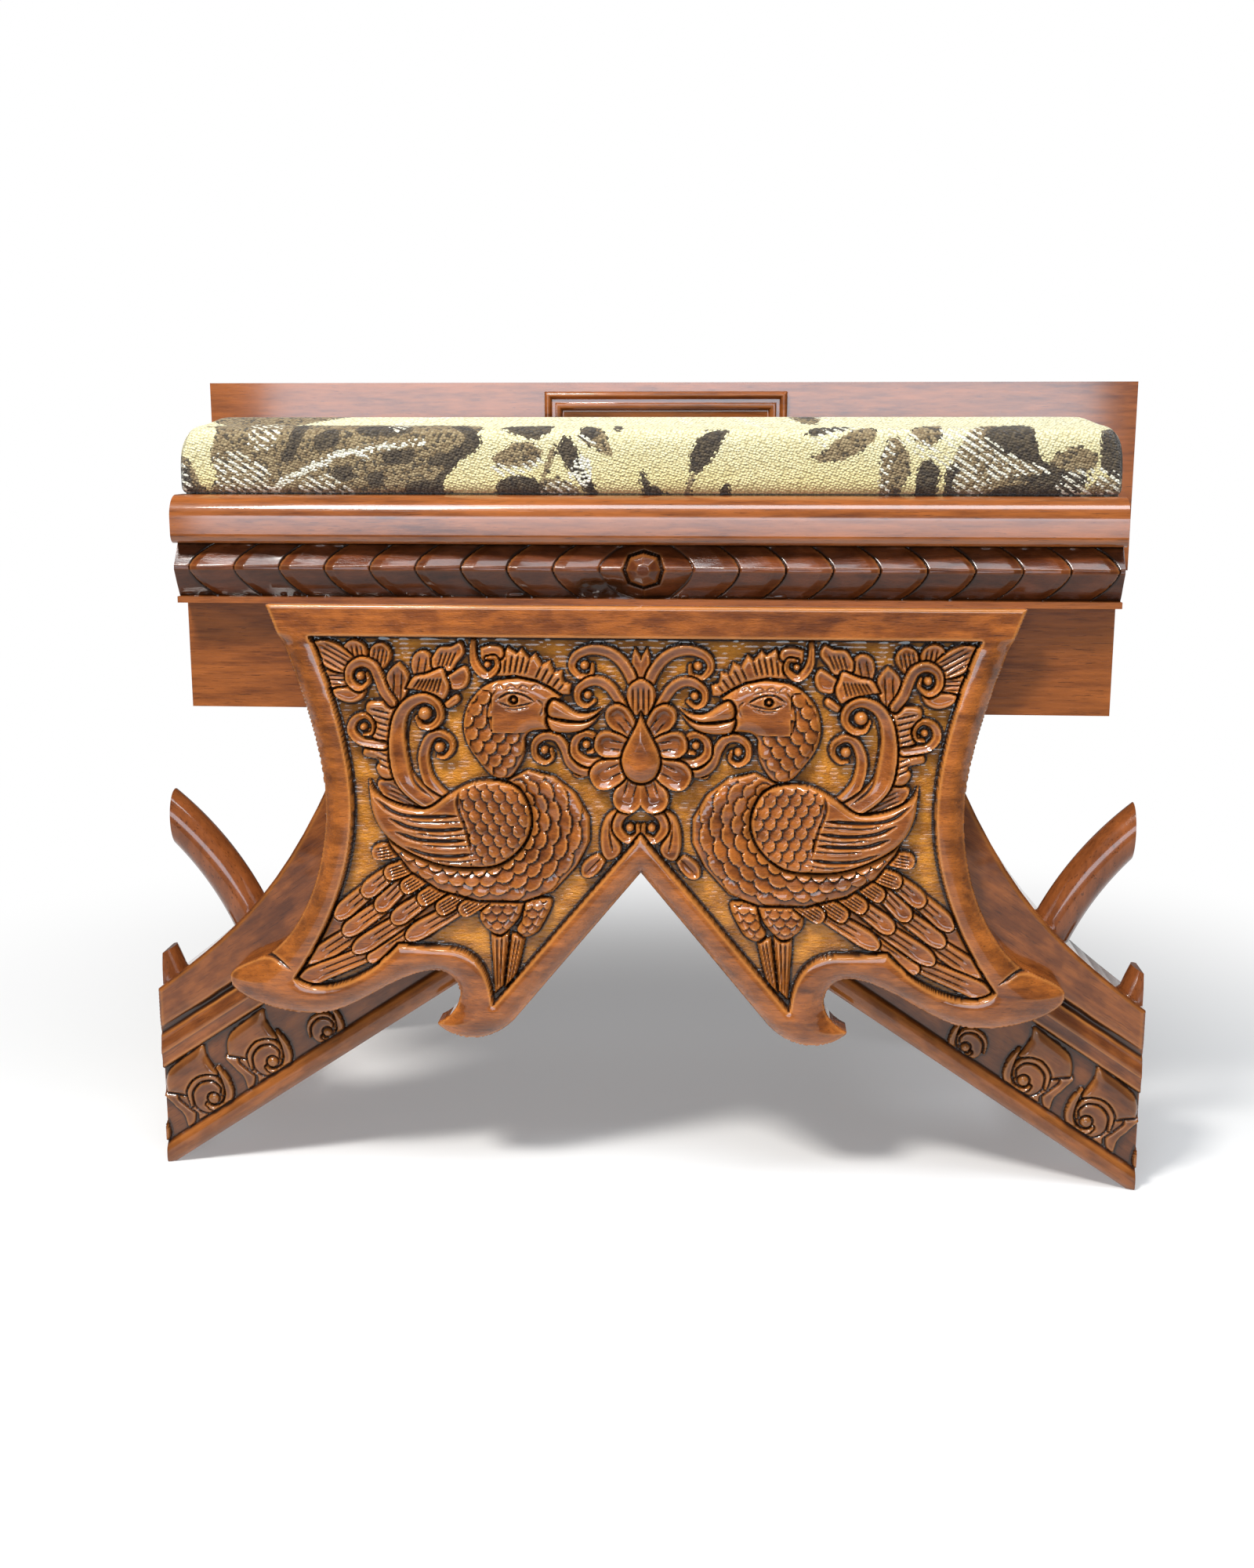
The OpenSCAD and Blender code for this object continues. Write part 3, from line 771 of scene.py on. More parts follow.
def carve_plume(r):
    """Leaves and scrolls that spring from the wing and fill the upper outer corner."""
    r.leaf((140, 262), (171, 277), 16, 6.6, 3.0, 5, groove=1.0)
    acanthus = [(152, 280), (167, 279), (172, 286), (170, 291), (180, 294), (178, 301), (171, 303),
                (177, 310), (171, 315), (177, 321), (176, 329), (164, 330), (157, 326)]
    r.mound(acanthus, 7.2, 4, 3.0)
    r.gouges((158, 282), (161, 324), ((171, 288), (174, 327)), 10, 1.8, 1.6)
    r.mound([(127, 329), (118, 335), (116, 330), (124, 325)], 6.4, 3, 2.0, 1.0)
    r.mound([(124, 347), (113, 353), (109, 347), (112, 339), (120, 337), (124, 341)],
            6.8, 3.5, 2.5, 1.6)
    r.leaf((142, 344), (138, 363), 15, 7.4, 4.0, 3, dish=0.25, groove=1.1)
    r.mound([(134, 358), (129, 365), (121, 366), (115, 369), (112, 362), (117, 355), (122, 349),
             (133, 351)], 7.6, 3.5, 3.0, 1.8)
    r.gouges((131, 352), (121, 352), ((128, 362), (116, 363)), 4, 1.7, 1.4)
    r.leaf((157, 329), (155, 355), 16, 8.0, 4.0, 3, point=0.9, dish=0.3, groove=1.1)
    r.mound([(151, 338), (146, 346), (138, 348), (127, 352), (124, 346), (122, 339), (126, 331),
             (132, 334), (139, 336)], 8.2, 3.5, 3.5, 0.8)
    r.gouges((148, 337), (129, 335), ((142, 345), (126, 346)), 7, 1.8, 1.6)
    r.scroll([(166, 301), (174, 302), (182, 304), (187, 310), (185, 317), (178, 320), (173, 315),
              (174, 309), (179, 308)], [6, 6, 6, 6, 6, 5, 4, 3, 2.5], 8.0, (179, 313), 2.6, -1)
    r.scroll([(121, 262), (131, 270), (137, 278), (140, 288), (140, 297), (136, 306), (130, 309),
              (123, 305), (122, 299), (126, 294), (131, 294)],
             [9, 9, 9, 8, 8, 7.5, 7, 6, 5, 4, 3], 8.0, (130, 300), 3.6, -1)
    r.scroll([(124, 258), (140, 267), (152, 278), (156, 292), (157, 306), (155, 319), (149, 328),
              (139, 332), (131, 328), (129, 320), (134, 314), (141, 314), (144, 319)],
             [11, 12, 13, 13, 13, 12, 10, 9, 8, 7, 6, 5, 3.5], 9.2, (139, 322), 4.6, -1)
    r.cut([(134, 266), (146, 277), (150, 292), (151, 308), (148, 320)], 2.2, 1.8)
    r.leaf((169, 350), (165, 368), 15, 7.4, 4.0, 5, dish=0.35, groove=1.2)
    r.leaf((182, 350), (184, 370), 17, 8.0, 4.5, 5, dish=0.3, groove=1.4)
    r.leaf((185, 344), (205, 345), 15, 7.8, 4.5, 5, dish=0.35, groove=1.2)
    r.mound([(176, 337), (188, 339), (199, 337), (196, 331), (187, 328), (179, 331)],
            7.2, 3, 3.0, 1.4)
    r.leaf((183, 350), (212, 367), 18, 8.4, 4.5, 5, dish=0.35, point=0.8, groove=1.3)
    r.scroll([(160, 329), (165, 336), (168, 344), (172, 352), (179, 355), (186, 351), (187, 343),
              (181, 338), (175, 342), (176, 347)], [7, 8, 8, 8, 7.5, 6.5, 5.5, 5, 4, 3], 8.8,
             (180, 346), 3.0, 1)


def carve_flower(r):
    """The half of the middle flower where X is positive: a drop-shaped heart, petals, scrolls."""
    r.leaf((0, 336), (4, 366), 8, 6.6, 4.0, 1, point=1.0, dish=0.1)
    r.scroll([(4, 340), (8, 350), (14, 358), (22, 363), (32, 364), (41, 360), (44, 353), (39, 347),
              (32, 348), (31, 354)], [7, 8, 8, 8, 8, 7, 6, 5, 4, 3], 8.0, (36, 354), 3.0, 1)
    r.scroll([(10, 326), (15, 333), (20, 340), (27, 344), (34, 343), (40, 338), (40, 331),
              (35, 328), (30, 331)], [6, 7, 7.5, 7.5, 7, 6, 5, 4, 3], 8.0, (34, 335), 2.8, 1)
    r.leaf((26, 289), (44, 283), 9, 6.2, 3.5, 2, dish=0.2)
    r.scroll([(27, 286), (37, 285), (45, 290), (49, 300), (54, 307), (62, 308), (68, 303),
              (68, 295), (62, 291), (57, 294), (58, 299)],
             [5, 6, 7, 7, 7, 6.5, 6, 5, 4.5, 3.5, 3], 7.8, (62, 299), 2.8, 1)
    r.scroll([(26, 292), (35, 292), (42, 297), (42, 305), (36, 310), (29, 307), (29, 300),
              (34, 298)], [6, 6.5, 6.5, 6, 5.5, 5, 4, 3], 7.6, (35, 303), 2.8, -1)
    r.leaf((25, 229), (38, 216), 12, 6.8, 4.0, 2, dish=0.25, root=0.6)
    r.mound([(15, 242), (12, 235), (15, 229), (22, 227), (26, 234), (26, 247), (22, 257),
             (15, 260)], 7.2, 4, 2.5, 1.0)
    r.cut([(20, 255), (20, 244), (18, 233)], 1.8, 1.4)
    r.scroll([(6, 261), (13, 256), (15, 248), (9, 241), (2, 244), (2, 250)],
             [6, 7, 7, 6, 5, 3.5], 8.0, (7, 249), 3.0, 1)
    r.leaf((0, 322), (0, 346), 19, 8.2, 4.5, 5, dish=0.2, groove=1.2)
    for base, tip, width in [((4, 308), (20, 328), 17), ((4, 284), (11, 259), 20),
                             ((7, 291), (32, 279), 20), ((6, 301), (30, 305), 18)]:
        r.leaf(base, tip, width, 9.2, 5.0, 3, fat=0.62, point=0.42, dish=0.42, groove=1.0,
               reach=0.55)
    drop = [(0, 325), (3, 317), (8, 307), (12, 298), (12.7, 291), (10, 283), (5, 279), (0, 278),
            (-5, 279), (-10, 283), (-12.7, 291), (-12, 298), (-8, 307), (-3, 317)]
    r.mound(drop, 10.0, 10, 3.0)


def mirrored(field, sign=1):
    return np.hstack([sign * field[:, :0:-1], field]).astype(field.dtype)


def trimmed(x, z, edge, step):
    """Fits a grid to a closed outline: the points with the border ones moved onto the outline,
    which of them are kept, which lie inside, and each one's distance from it."""
    distance, _, _, near_x, near_z = nearest(x, z, edge)
    within = inside(x, z, edge)
    keep = within | (distance < 0.5 * step)
    whole = keep[:-1, :-1] & keep[:-1, 1:] & keep[1:, 1:] & keep[1:, :-1]
    count = np.zeros(keep.shape)
    for rows in (slice(0, -1), slice(1, None)):
        for cols in (slice(0, -1), slice(1, None)):
            count[rows, cols] += whole
    border = keep & (count < 4) & (distance < 1.5 * step)
    return np.where(border, near_x, x), np.where(border, near_z, z), keep, within, distance


PLAQUE_RELIEF = 10.0    # mm from the ground of the carving to the rim's face
PLAQUE_STEP = 0.7       # mm between the points of its height map
RIM_RIDGE = 0.36        # where the rim is highest, as a share of the way from field to edge


def make_plaque():
    low, high = span("carved_plaque")
    floor_y = low[1] + PLAQUE_RELIEF
    r = Relief((0.0, 92.0), (280.0, 396.0), PLAQUE_STEP)
    carve_plume(r)
    carve_flower(r)
    carve_bird(r)
    field_d = nearest(r.x, r.z, PLAQUE_FIELD)[0]
    in_field = inside(r.x, r.z, PLAQUE_FIELD)
    x, z, keep, in_edge, edge_d = trimmed(r.x, r.z, PLAQUE_EDGE, r.step)
    x[:, 0] = 0
    r.h = np.where(in_field, r.h * smooth_step(-0.2, 2.0, field_d), r.h)

    share = np.clip(field_d / (field_d + edge_d + 1e-6), 0, 1)
    climb = PLAQUE_RELIEF - 1.6 * (1 - share / RIM_RIDGE) ** 2
    fall = np.clip(share - RIM_RIDGE, 0, 1) / (1 - RIM_RIDGE)
    hump = np.where(share < RIM_RIDGE, climb, PLAQUE_RELIEF - 7.5 * fall ** 2.1)
    flat = PLAQUE_RELIEF - 1.0 * (1 - np.clip(field_d / 1.6, 0, 1)) ** 2
    flat -= 1.2 * (1 - np.clip(edge_d / 2, 0, 1)) ** 2
    rim = hump + (flat - hump) * smooth_step(366, 374, r.z)
    wall = smooth_step(0.0, 1.1, field_d)
    is_rim = in_edge & ~in_field
    ground = np.where(in_field & (r.h < 0.35), 1.0, 0.0)
    strokes = patchy(r.h.shape, 2, 5) * np.sin(r.z * 2.1 + 3 * patchy(r.h.shape, 14, 6))
    r.h += np.where(in_field, 0.35 * ground * strokes, 0)
    r.h = np.where(is_rim, r.h * (1 - wall) + rim * wall, r.h)
    r.cut([(272, 148), (260, 155), (245, 158), (231, 150)], 3.0, 2.2)
    r.h = np.clip(r.h, -0.5, PLAQUE_RELIEF)

    values = {"hollow": mirrored(r.hollow()), "crest": mirrored(r.crest()),
              "ground": mirrored(ground)}
    height = mirrored(r.h)
    height += 0.10 * patchy(height.shape, 3, 7) + 0.22 * patchy(height.shape, 16, 8)
    height = np.clip(height, -0.6, PLAQUE_RELIEF)
    obj = carved_solid("plaque_carving", mirrored(x, -1), mirrored(z), floor_y - height,
                       mirrored(keep), high[1], values, teak_carved)
    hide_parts("carved_plaque")


make_plaque()


# ------------------------------------------------------------------ the two raking front legs

FLUSH_GAP = 0.4         # the CAD's rod ends and screw heads lie exactly in the legs' faces, which
                        # renders black, so the carved legs stop this much short of them
LEG_TOE, LEG_END = 326, 332 - FLUSH_GAP     # where the foot's slope and its sawn end stand
LEG_STEP = 0.75         # mm between the points of their height maps
LEG_EDGE = np.array([(0, 322), (0, 236), (30, 198), (LEG_TOE, 0), (LEG_END, 0)]
                    + curve((LEG_END, 126), (275, 170), (236, 197), (186, 322)) + [(186, 322)])


def carve_wave(r, u, v, size=1.0, whole=True):
    """One rolling leaf of the legs' running pattern, round the button at its heart."""
    def at(*points):
        return [(u + size * a, v + size * b) for a, b in points]

    def wide(*widths):
        return [width * size for width in widths]

    if whole:
        r.band(at((-25, 19), (-22, 10), (-21, 1), (-26, -8)), wide(7, 10, 9, 5), 3.2, -0.4)
        r.band(at((-17, 12), (-14, 3), (-13, -4), (-18, -10)), wide(8, 9, 8, 5), 2.8, 0.4)
        r.mound(at((-26, 21), (-22, 28), (-16, 33), (-8, 35), (6, 36), (17, 36), (14, 27),
                   (13.5, 19), (13, 12), (0, 14), (-12, 10), (-20, 16)), 4.8, 7 * size)
    r.mound(at((-15, 6), (-13, 11), (-6, 16), (2, 16), (9, 11), (11, 4), (7, -3), (-2, -7),
               (-9, -8), (-14, -2)), 3.4, 5 * size)
    r.band(at((-16, 4), (-11, 13), (-1, 16.5), (8, 12.5), (10.5, 4), (7, -1)),
           wide(2.5, 4, 4.5, 4.5, 3.5, 2.5), 4.4, 0.5)
    r.band(at((15.7, 17), (15.2, 7), (11.5, -3), (3.5, -8.5), (-4, -5.5), (-6, -1)),
           wide(2.5, 5.5, 6.5, 6, 4.5, 2.5), 5.0, 0.5)
    r.button((u, v), 4.2 * size, 5.0)


# In millimetres across the leg from its lower edge: where the bead, the carved channel and the
# narrow band end, where the groove runs, and where the plain board starts.
BEAD_END, MOTIF_END, NARROW_END, GROOVE_V, BOARD_START = 14, 60, 68.5, 82, 84


def make_leg(side):
    name = "left" if side < 0 else "right"
    node = f"{name}_front_leg"
    low, high = span(node)
    channel = 5.0
    c, s = math.cos(LEG_SLOPE), math.sin(LEG_SLOPE)
    r = Relief((-24.0, -6.0), (400.0, 215.0), LEG_STEP)
    x = LEG_TOE - c * r.x + s * r.z
    z = s * r.x + c * r.z
    v = r.z
    carve_wave(r, -6, 23)
    carve_wave(r, 50, 23)
    carve_wave(r, 101, 22.5, 0.96)
    carve_wave(r, 146, 19.5, 0.8, whole=False)
    r.cut([(26, 60), (19, 53), (18.5, 43), (19.5, 31), (17, 20), (7, 12)], 4.5, 3.0)
    motif = np.clip(r.h, 0, channel) * smooth_step(0, 2, v - BEAD_END - 0.5)
    motif *= smooth_step(0, 1.5, MOTIF_END + 0.5 - v)

    bead = channel - 3.2 * np.abs((v - 7) / 7) ** 2.4
    run_out = np.interp(r.x, [10, 120], [0.6, 3.8])
    groove = run_out * np.exp(-(((v - GROOVE_V + 1.1 * patchy(v.shape, 4, 24)) / 2.5) ** 4))
    narrow = channel - 0.8 - 0.5 * np.sin(math.pi * np.clip((v - MOTIF_END) / 8.5, 0, 1))
    cove = channel - 1.4 * smooth_step(NARROW_END, 79, v)
    upper = channel - 0.8 * (1 - smooth_step(BOARD_START, 90, v))
    height = np.select([v < BEAD_END, v < MOTIF_END, v < NARROW_END, v < GROOVE_V],
                       [bead, motif, narrow, cove], upper) - groove
    for at_v in (BEAD_END, MOTIF_END):
        blend = np.exp(-((v - at_v) / 0.9) ** 2)
        height = height * (1 - blend) + blurred(height, 1) * blend

    closed = np.vstack([LEG_EDGE, LEG_EDGE[:1]])
    x, z, keep, _, edge_d = trimmed(x, z, closed, r.step)
    height -= np.where(v > BOARD_START, 1.6 * (1 - np.clip(edge_d / 2.6, 0, 1)) ** 2, 0)
    height += 0.08 * patchy(height.shape, 3, 21) + 0.25 * patchy(height.shape, 20, 22)
    r.h = np.clip(height, 0.0, channel)
    stain = 0.28 * smooth_step(13, 17, v) * smooth_step(61, 57, v)
    stain *= 1 + 0.8 * patchy(height.shape, 8, 23)
    stain += 0.8 * groove / 3.8 * (v > 79) * (v < 85)
    values = {"hollow": np.clip(r.hollow() + stain, 0, 1),
              "crest": r.crest(), "ground": np.zeros(r.h.shape)}
    leg = carved_solid(f"{node}_carving", side * x, z, low[1] + channel - r.h, keep,
                       high[1] - FLUSH_GAP, values, teak_leg_left_painted_shade if side < 0 else teak_leg_right_painted_shade,
                       flip=side > 0)
    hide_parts(node)


for side in (-1, 1):
    make_leg(side)


def lap_block(name, low, high):
    """A sawn block with its edges just eased."""
    (x0, y0, z0), (x1, y1, z1) = low, high
    corners = [(x, y, z) for z in (z0, z1) for x, y in ((x0, y0), (x1, y0), (x1, y1), (x0, y1))]
    faces = [(3, 2, 1, 0), (4, 5, 6, 7), (0, 1, 5, 4), (1, 2, 6, 5), (2, 3, 7, 6), (3, 0, 4, 7)]
    obj = new_object(name, np.array(corners) * MM, faces, teak_along_x)
    eased(obj, 0.8, 3)


LAP_REACH, LAP_FOOT, LAP_DEPTH = 186.0, 322, 22     # half width, lowest z and depth in the leg
for side, name in ((-1, "left"), (1, "right")):
    low, high = span(f"{name}_front_leg")
    inner, outer = sorted((0.0, side * LAP_REACH))
    lap_block(f"{name}_front_leg_lap", (inner, high[1] - LAP_DEPTH, LAP_FOOT),
              (outer, high[1] - FLUSH_GAP, high[2]))


# ------------------------------------------------------------------ the rope moulding

ROPE_STEP = 0.6         # mm between the points of its height map
ROPE_BED_Y = -150.0     # the flat that the scallops stand on


def make_rope():
    """Overlapping scallops of triangular section that lean away from a faceted nut."""
    low, high = span("rope_moulding")
    pitch, crest_z = 29.0, 415.0
    nut_x, nut_wide, nut_tall = 1.6, 11.5, 10.5
    r = Relief((low[0], low[2]), (high[0], high[2]), ROPE_STEP)
    rise = r.z - crest_z
    v = np.clip(np.where(rise > 0, rise / (high[2] - crest_z), -rise / (crest_z - low[2])), 0, 1)
    bow = 15.5 * v ** 1.8
    left = r.x < nut_x
    start = np.where(left, -25.8 + bow, 31.9 - bow)
    along = np.where(left, start - r.x, r.x - start)
    count = np.floor(along / pitch)
    turn = along - pitch * count
    plane = 2.2 + 14.3 * (1 - np.maximum(v, 0.07))
    uneven = np.random.default_rng(17).uniform(-1, 1, (4, 40))
    pick = np.clip(count + 2, 0, 19).astype(int) + 20 * left
    drop = (0.35 + 0.65 * (1 - v)) * (4.6 + 1.4 * uneven[0][pick])
    tilt = 0.5 * uneven[1][pick] + 1.1 * uneven[2][pick] * rise / 17
    lapped = plane - drop * (1 - turn / pitch) + tilt * (1 - v)
    bevel = 6.5 + 2.5 * uneven[3][pick]
    lapped -= 2.0 * (1 - np.clip((pitch - turn) / bevel, 0, 1)) * (0.4 + 0.6 * (1 - v))
    lapped -= 1.0 * np.exp(-(turn / 0.8) ** 2)

    beside = plane - 0.16 * np.abs(r.x - nut_x) - np.where(left, 0.5, 0.0)
    dx, dz = (r.x - nut_x) / nut_wide, (r.z - crest_z + 0.5) / nut_tall
    gem = np.maximum(np.abs(dx) + 0.35 * np.abs(dz), np.abs(dz) + 0.35 * np.abs(dx))
    nut = np.minimum(17.4, 21.0 - 9.5 * gem) - 1.2 * np.clip(-dz, 0, 1)
    middle = np.where(gem < 1, nut, beside)
    middle -= 3.4 * np.exp(-((gem - 1.06) / 0.09) ** 2)
    r.h = np.where(along < 0, middle, lapped)

    knot = np.exp(-((r.x + 25) / 17) ** 4) * np.exp(-((r.z - 402) / 6) ** 4)
    r.h += knot * (1.6 * patchy(r.h.shape, 2, 33) - 1.0)
    r.h += 0.25 * patchy(r.h.shape, 4, 31) + 0.5 * patchy(r.h.shape, 18, 32)
    runs = np.clip(2.2 * patchy(r.h.shape, 3, 34), 0, 1) * np.exp(-((v - 0.93) / 0.05) ** 2)
    r.h = np.clip(r.h + 1.2 * runs, 0.6, 19.6)
    foot = 0.6 * np.clip(v - 0.86, 0, 0.14) / 0.14
    tone = np.where(along < 0, 0.1, 0.16 + 0.14 * uneven[0][pick])
    # Painted shade: the scallops' lower half, which faces down, is darkened.
    under = 0.22 * smooth_step(0.0, 3.0, -rise)
    values = {"hollow": np.clip(r.hollow() + foot + tone + under + 0.75 * knot, 0, 1),
              "crest": 0.35 * r.crest(), "ground": np.zeros(r.h.shape)}
    keep = np.ones(r.h.shape, bool)
    rope = carved_solid("rope_carving", r.x, r.z, ROPE_BED_Y - r.h, keep, high[1], values,
                        teak_rope)
    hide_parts("rope_moulding")


make_rope()


# ------------------------------------------------------------------ the mouldings on the back board

def mitred_frame(name, node, profile):
    """A frame of moulding strip round a node's box; profile runs from its outer edge inwards,
    as distance in and height proud of the board."""
    low, high = span(node)
    vertices = []
    for run_in, proud in profile:
        x0, x1, z0, z1 = low[0] + run_in, high[0] - run_in, low[2] + run_in, high[2] - run_in
        vertices += [(x, high[1] - proud, z) for x, z in ((x0, z0), (x1, z0), (x1, z1), (x0, z1))]
    faces = []
    for here in range(len(profile)):
        after = (here + 1) % len(profile)
        for k, m in ((0, 1), (1, 2), (2, 3), (3, 0)):
            faces.append((4 * here + k, 4 * here + m, 4 * after + m, 4 * after + k))
    obj = new_object(name, np.array(vertices) * MM, faces, teak_along_x, sharp=30)
    eased(obj, 0.5, 2).limit_method = "ANGLE"
    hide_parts(node)


def half_round(start, width, foot, top, steps=7):
    return [(start + width * (0.5 - 0.5 * math.cos(math.pi * i / steps)),
             foot + (top - foot) * math.sin(math.pi * i / steps)) for i in range(steps + 1)]


mitred_frame("outer_moulding", "outer_moulding_frame",
             [(0, 0), (0, 3)] + half_round(0.2, 5, 3.2, 6.5)[1:]
             + [(5.6, 2.4), (9, 2.4), (9.2, 8.6), (10.2, 9.0), (12.6, 8.4), (14, 6.2), (14, 0)])
mitred_frame("inner_moulding", "inner_moulding_frame",
             [(0, 0), (0, 4.6), (1.2, 5.0), (7.4, 2.6), (7.6, 2.0)]
             + half_round(7.8, 3.4, 2.0, 4.2)[1:] + [(12, 1.2), (12, 0)])


# ------------------------------------------------------------------ the upholstered cushion

COVER_LOW, COVER_HIGH = span("cushion_cover")
RAIL_TOP = span("front_rail")[1][2]
HEEL_Y = -135.4             # the front of the cover's lower part, which stands behind the rail
CLOTH_FRAMES = 20
CLOTH_OUT = (-0.8, 4.2)     # mm that the cloth may move in and out
CLOTH_ALONG = 1.5           # mm that it may move along its own surface


def cushion_section(inset):
    """The cover's outline in Y and Z: up behind the rail, forward over it, up the front, back
    over the top, and down to the underside."""
    front, back = COVER_LOW[1] + inset, COVER_HIGH[1] - inset
    bottom, top, heel = COVER_LOW[2] + inset, COVER_HIGH[2] - inset, HEEL_Y + inset
    lip, radius = RAIL_TOP + 0.8 + inset, 14.0 - inset
    quarter = [(radius * (1 - math.cos(a)), radius * (1 - math.sin(a)))
               for a in (math.pi / 2 * i / 6 for i in range(7))]
    points = [(heel, bottom), (heel, lip - 1)]
    points += [(y, lip) for y in np.linspace(heel - 1, front + 6, 4)]
    points += [(front + 3.0, lip + 0.5), (front + 0.8, lip + 2.5)]
    points += [(front, z) for z in np.linspace(lip + 5, top - radius - 3, 6)]
    points += [(front + a, top - b) for a, b in quarter]
    points += [(y, top) for y in np.linspace(front + radius + 6, back - radius - 6, 30)]
    points += [(back - b, top - a) for a, b in quarter]
    points += [(back, z) for z in np.linspace(top - radius - 6, bottom, 8)]
    points += [(y, bottom) for y in np.linspace(back - 8, heel + 8, 30)]
    return np.array(points)


def cushion_base(inset):
    """A long closed form on that section, rounded over at both ends."""
    section = cushion_section(inset)
    stations = np.concatenate([[-1.0, -0.995, -0.98], np.linspace(-0.96, 0.96, 97),
                               [0.98, 0.995, 1.0]])
    half_width = COVER_HIGH[0] - inset
    vertices = []
    for share in stations:
        end = np.clip((abs(share) - 0.955) / 0.045, 0, 1)
        for y, z in section:
            tall = smooth_step(0.45, 1.0, (z - COVER_LOW[2]) / (COVER_HIGH[2] - COVER_LOW[2]))
            vertices.append((share * half_width, y * (1 - 0.035 * end ** 3 * tall),
                             z - 9 * end ** 2.5 * tall))
    n, m = len(section), len(stations)
    faces = [(i * n + j, i * n + (j + 1) % n, (i + 1) * n + (j + 1) % n, (i + 1) * n + j)
             for i in range(m - 1) for j in range(n)]
    faces += [tuple(range(n))[::-1], tuple((m - 1) * n + j for j in range(n))]
    return np.array(vertices), faces


def stuffed(obj):
    """Fills the cover with a light cloth pressure, then keeps its movement small."""
    obj.data.remesh_voxel_size = 0.004
    obj.data.use_remesh_preserve_volume = True
    with bpy.context.temp_override(object=obj, active_object=obj, selected_objects=[obj]):
        bpy.ops.object.voxel_remesh()
    mesh = obj.data
    before = np.array([v.co for v in mesh.vertices])
    normals = np.array([v.normal for v in mesh.vertices])
    held = obj.vertex_groups.new(name="held")
    for i, (x, y, z) in enumerate(before / MM):
        if z < RAIL_TOP + 2 or y > COVER_HIGH[1] - 6:
            held.add([i], 1.0, "REPLACE")
    cloth = obj.modifiers.new("stuffing", "CLOTH")
    for key, value in {"use_pressure": True, "uniform_pressure_force": 4.0, "quality": 5,
                       "vertex_group_mass": "held", "tension_stiffness": 25,
                       "compression_stiffness": 25, "bending_stiffness": 2.0}.items():
        setattr(cloth.settings, key, value)
    cloth.settings.effector_weights.gravity = 0
    scene = bpy.context.scene
    for number in range(1, CLOTH_FRAMES + 1):
        scene.frame_set(number)
    shaped = obj.evaluated_get(bpy.context.evaluated_depsgraph_get())
    after = np.array([v.co for v in shaped.to_mesh().vertices])
    shaped.to_mesh_clear()
    obj.modifiers.remove(cloth)
    scene.frame_set(1)
    move = after - before
    outward = (move * normals).sum(axis=1, keepdims=True)
    along = move - outward * normals
    size = np.linalg.norm(along, axis=1, keepdims=True) + 1e-9
    after = before + np.clip(outward, CLOTH_OUT[0] * MM, CLOTH_OUT[1] * MM) * normals
    after += along * np.minimum(1, CLOTH_ALONG * MM / size)
    mesh.vertices.foreach_set("co", after.astype(np.float32).ravel())
    mesh.update()


def signed(x, v, outline):
    """Distance inside a closed outline, negative outside it."""
    closed = flowing(np.vstack([outline, outline[:1]]), 2)
    d = nearest(x, v, closed)[0]
    return np.where(inside(x, v, closed), d, -d)


# The motif, in millimetres across the front and up it from the rail.
TOP_EDGE = 42.5     # where the front turns over into the top; the shapes run a little past it
DARK_SHAPES = [
    [(-296, 16), (-290, 18), (-287, 8), (-284, 0), (-296, -2)],
    [(-232, 20), (-225, 34), (-221, 48), (-212, 48), (-217, 32), (-223, 21)],
    [(-209, 27), (-208, 36), (-195, 42), (-191, 34), (-198, 28)],
    [(-182, 38), (-178, 46), (-150, 46), (-146, 40), (-158, 36), (-173, 36)],
    [(-197, 8), (-196, 17), (-185, 18), (-184, 9)],
    [(-164, 18), (-164, 27), (-144, 28), (-147, 20)],
    [(-175, 5), (-174, 14), (-163, 14), (-166, 5)],
    [(-152, -3), (-150, 6), (-140, 9), (-129, 7), (-126, -3)],
    [(-137, 17), (-134, 24), (-120, 28), (-112, 36), (-122, 44), (-114, 47), (-102, 36), (-103, 29),
     (-113, 22), (-120, 15), (-126, 8), (-124, -3), (-131, -3), (-132, 9), (-126, 17)],
    [(-90, 41), (-82, 46), (-56, 46), (-60, 38), (-70, 34), (-81, 38)],
    [(-94, -2), (-91, 8), (-81, 13), (-69, 11), (-60, 3), (-60, -2)],
    [(-54, 28), (-49, 37), (-43, 32), (-37, 20), (-31, 9), (-28, 0), (-36, 2), (-46, 14)],
    [(-41, 35), (-38, 45), (-30, 44), (-28, 36), (-34, 33)],
    [(-18, 40), (-17, 46), (-12, 46), (-13, 40)],
    [(-2, 14), (1, 16), (4, 8), (16, 0), (4, -3), (-1, 6)],
    [(30, 12), (29, 22), (33, 33), (41, 40), (53, 40), (48, 30), (42, 20), (36, 15)],
    [(47, -2), (49, 5), (54, 7), (54, -2)],
    [(101, 36), (104, 42), (124, 45), (130, 42), (113, 37)],
    [(168, -2), (170, 14), (176, 22), (184, 17), (183, 4), (178, -2)],
    [(188, -3), (187, 14), (193, 21), (199, 17), (193, 9), (197, -3)],
    [(209, 36), (219, 46), (237, 47), (243, 34), (248, 22), (269, 14), (276, 12), (262, -4),
     (214, -4), (220, 6), (238, 8), (226, 12), (246, 15), (234, 21), (214, 29)],
    [(281, 38), (289, 45), (299, 42), (299, 12), (284, 14)],
]
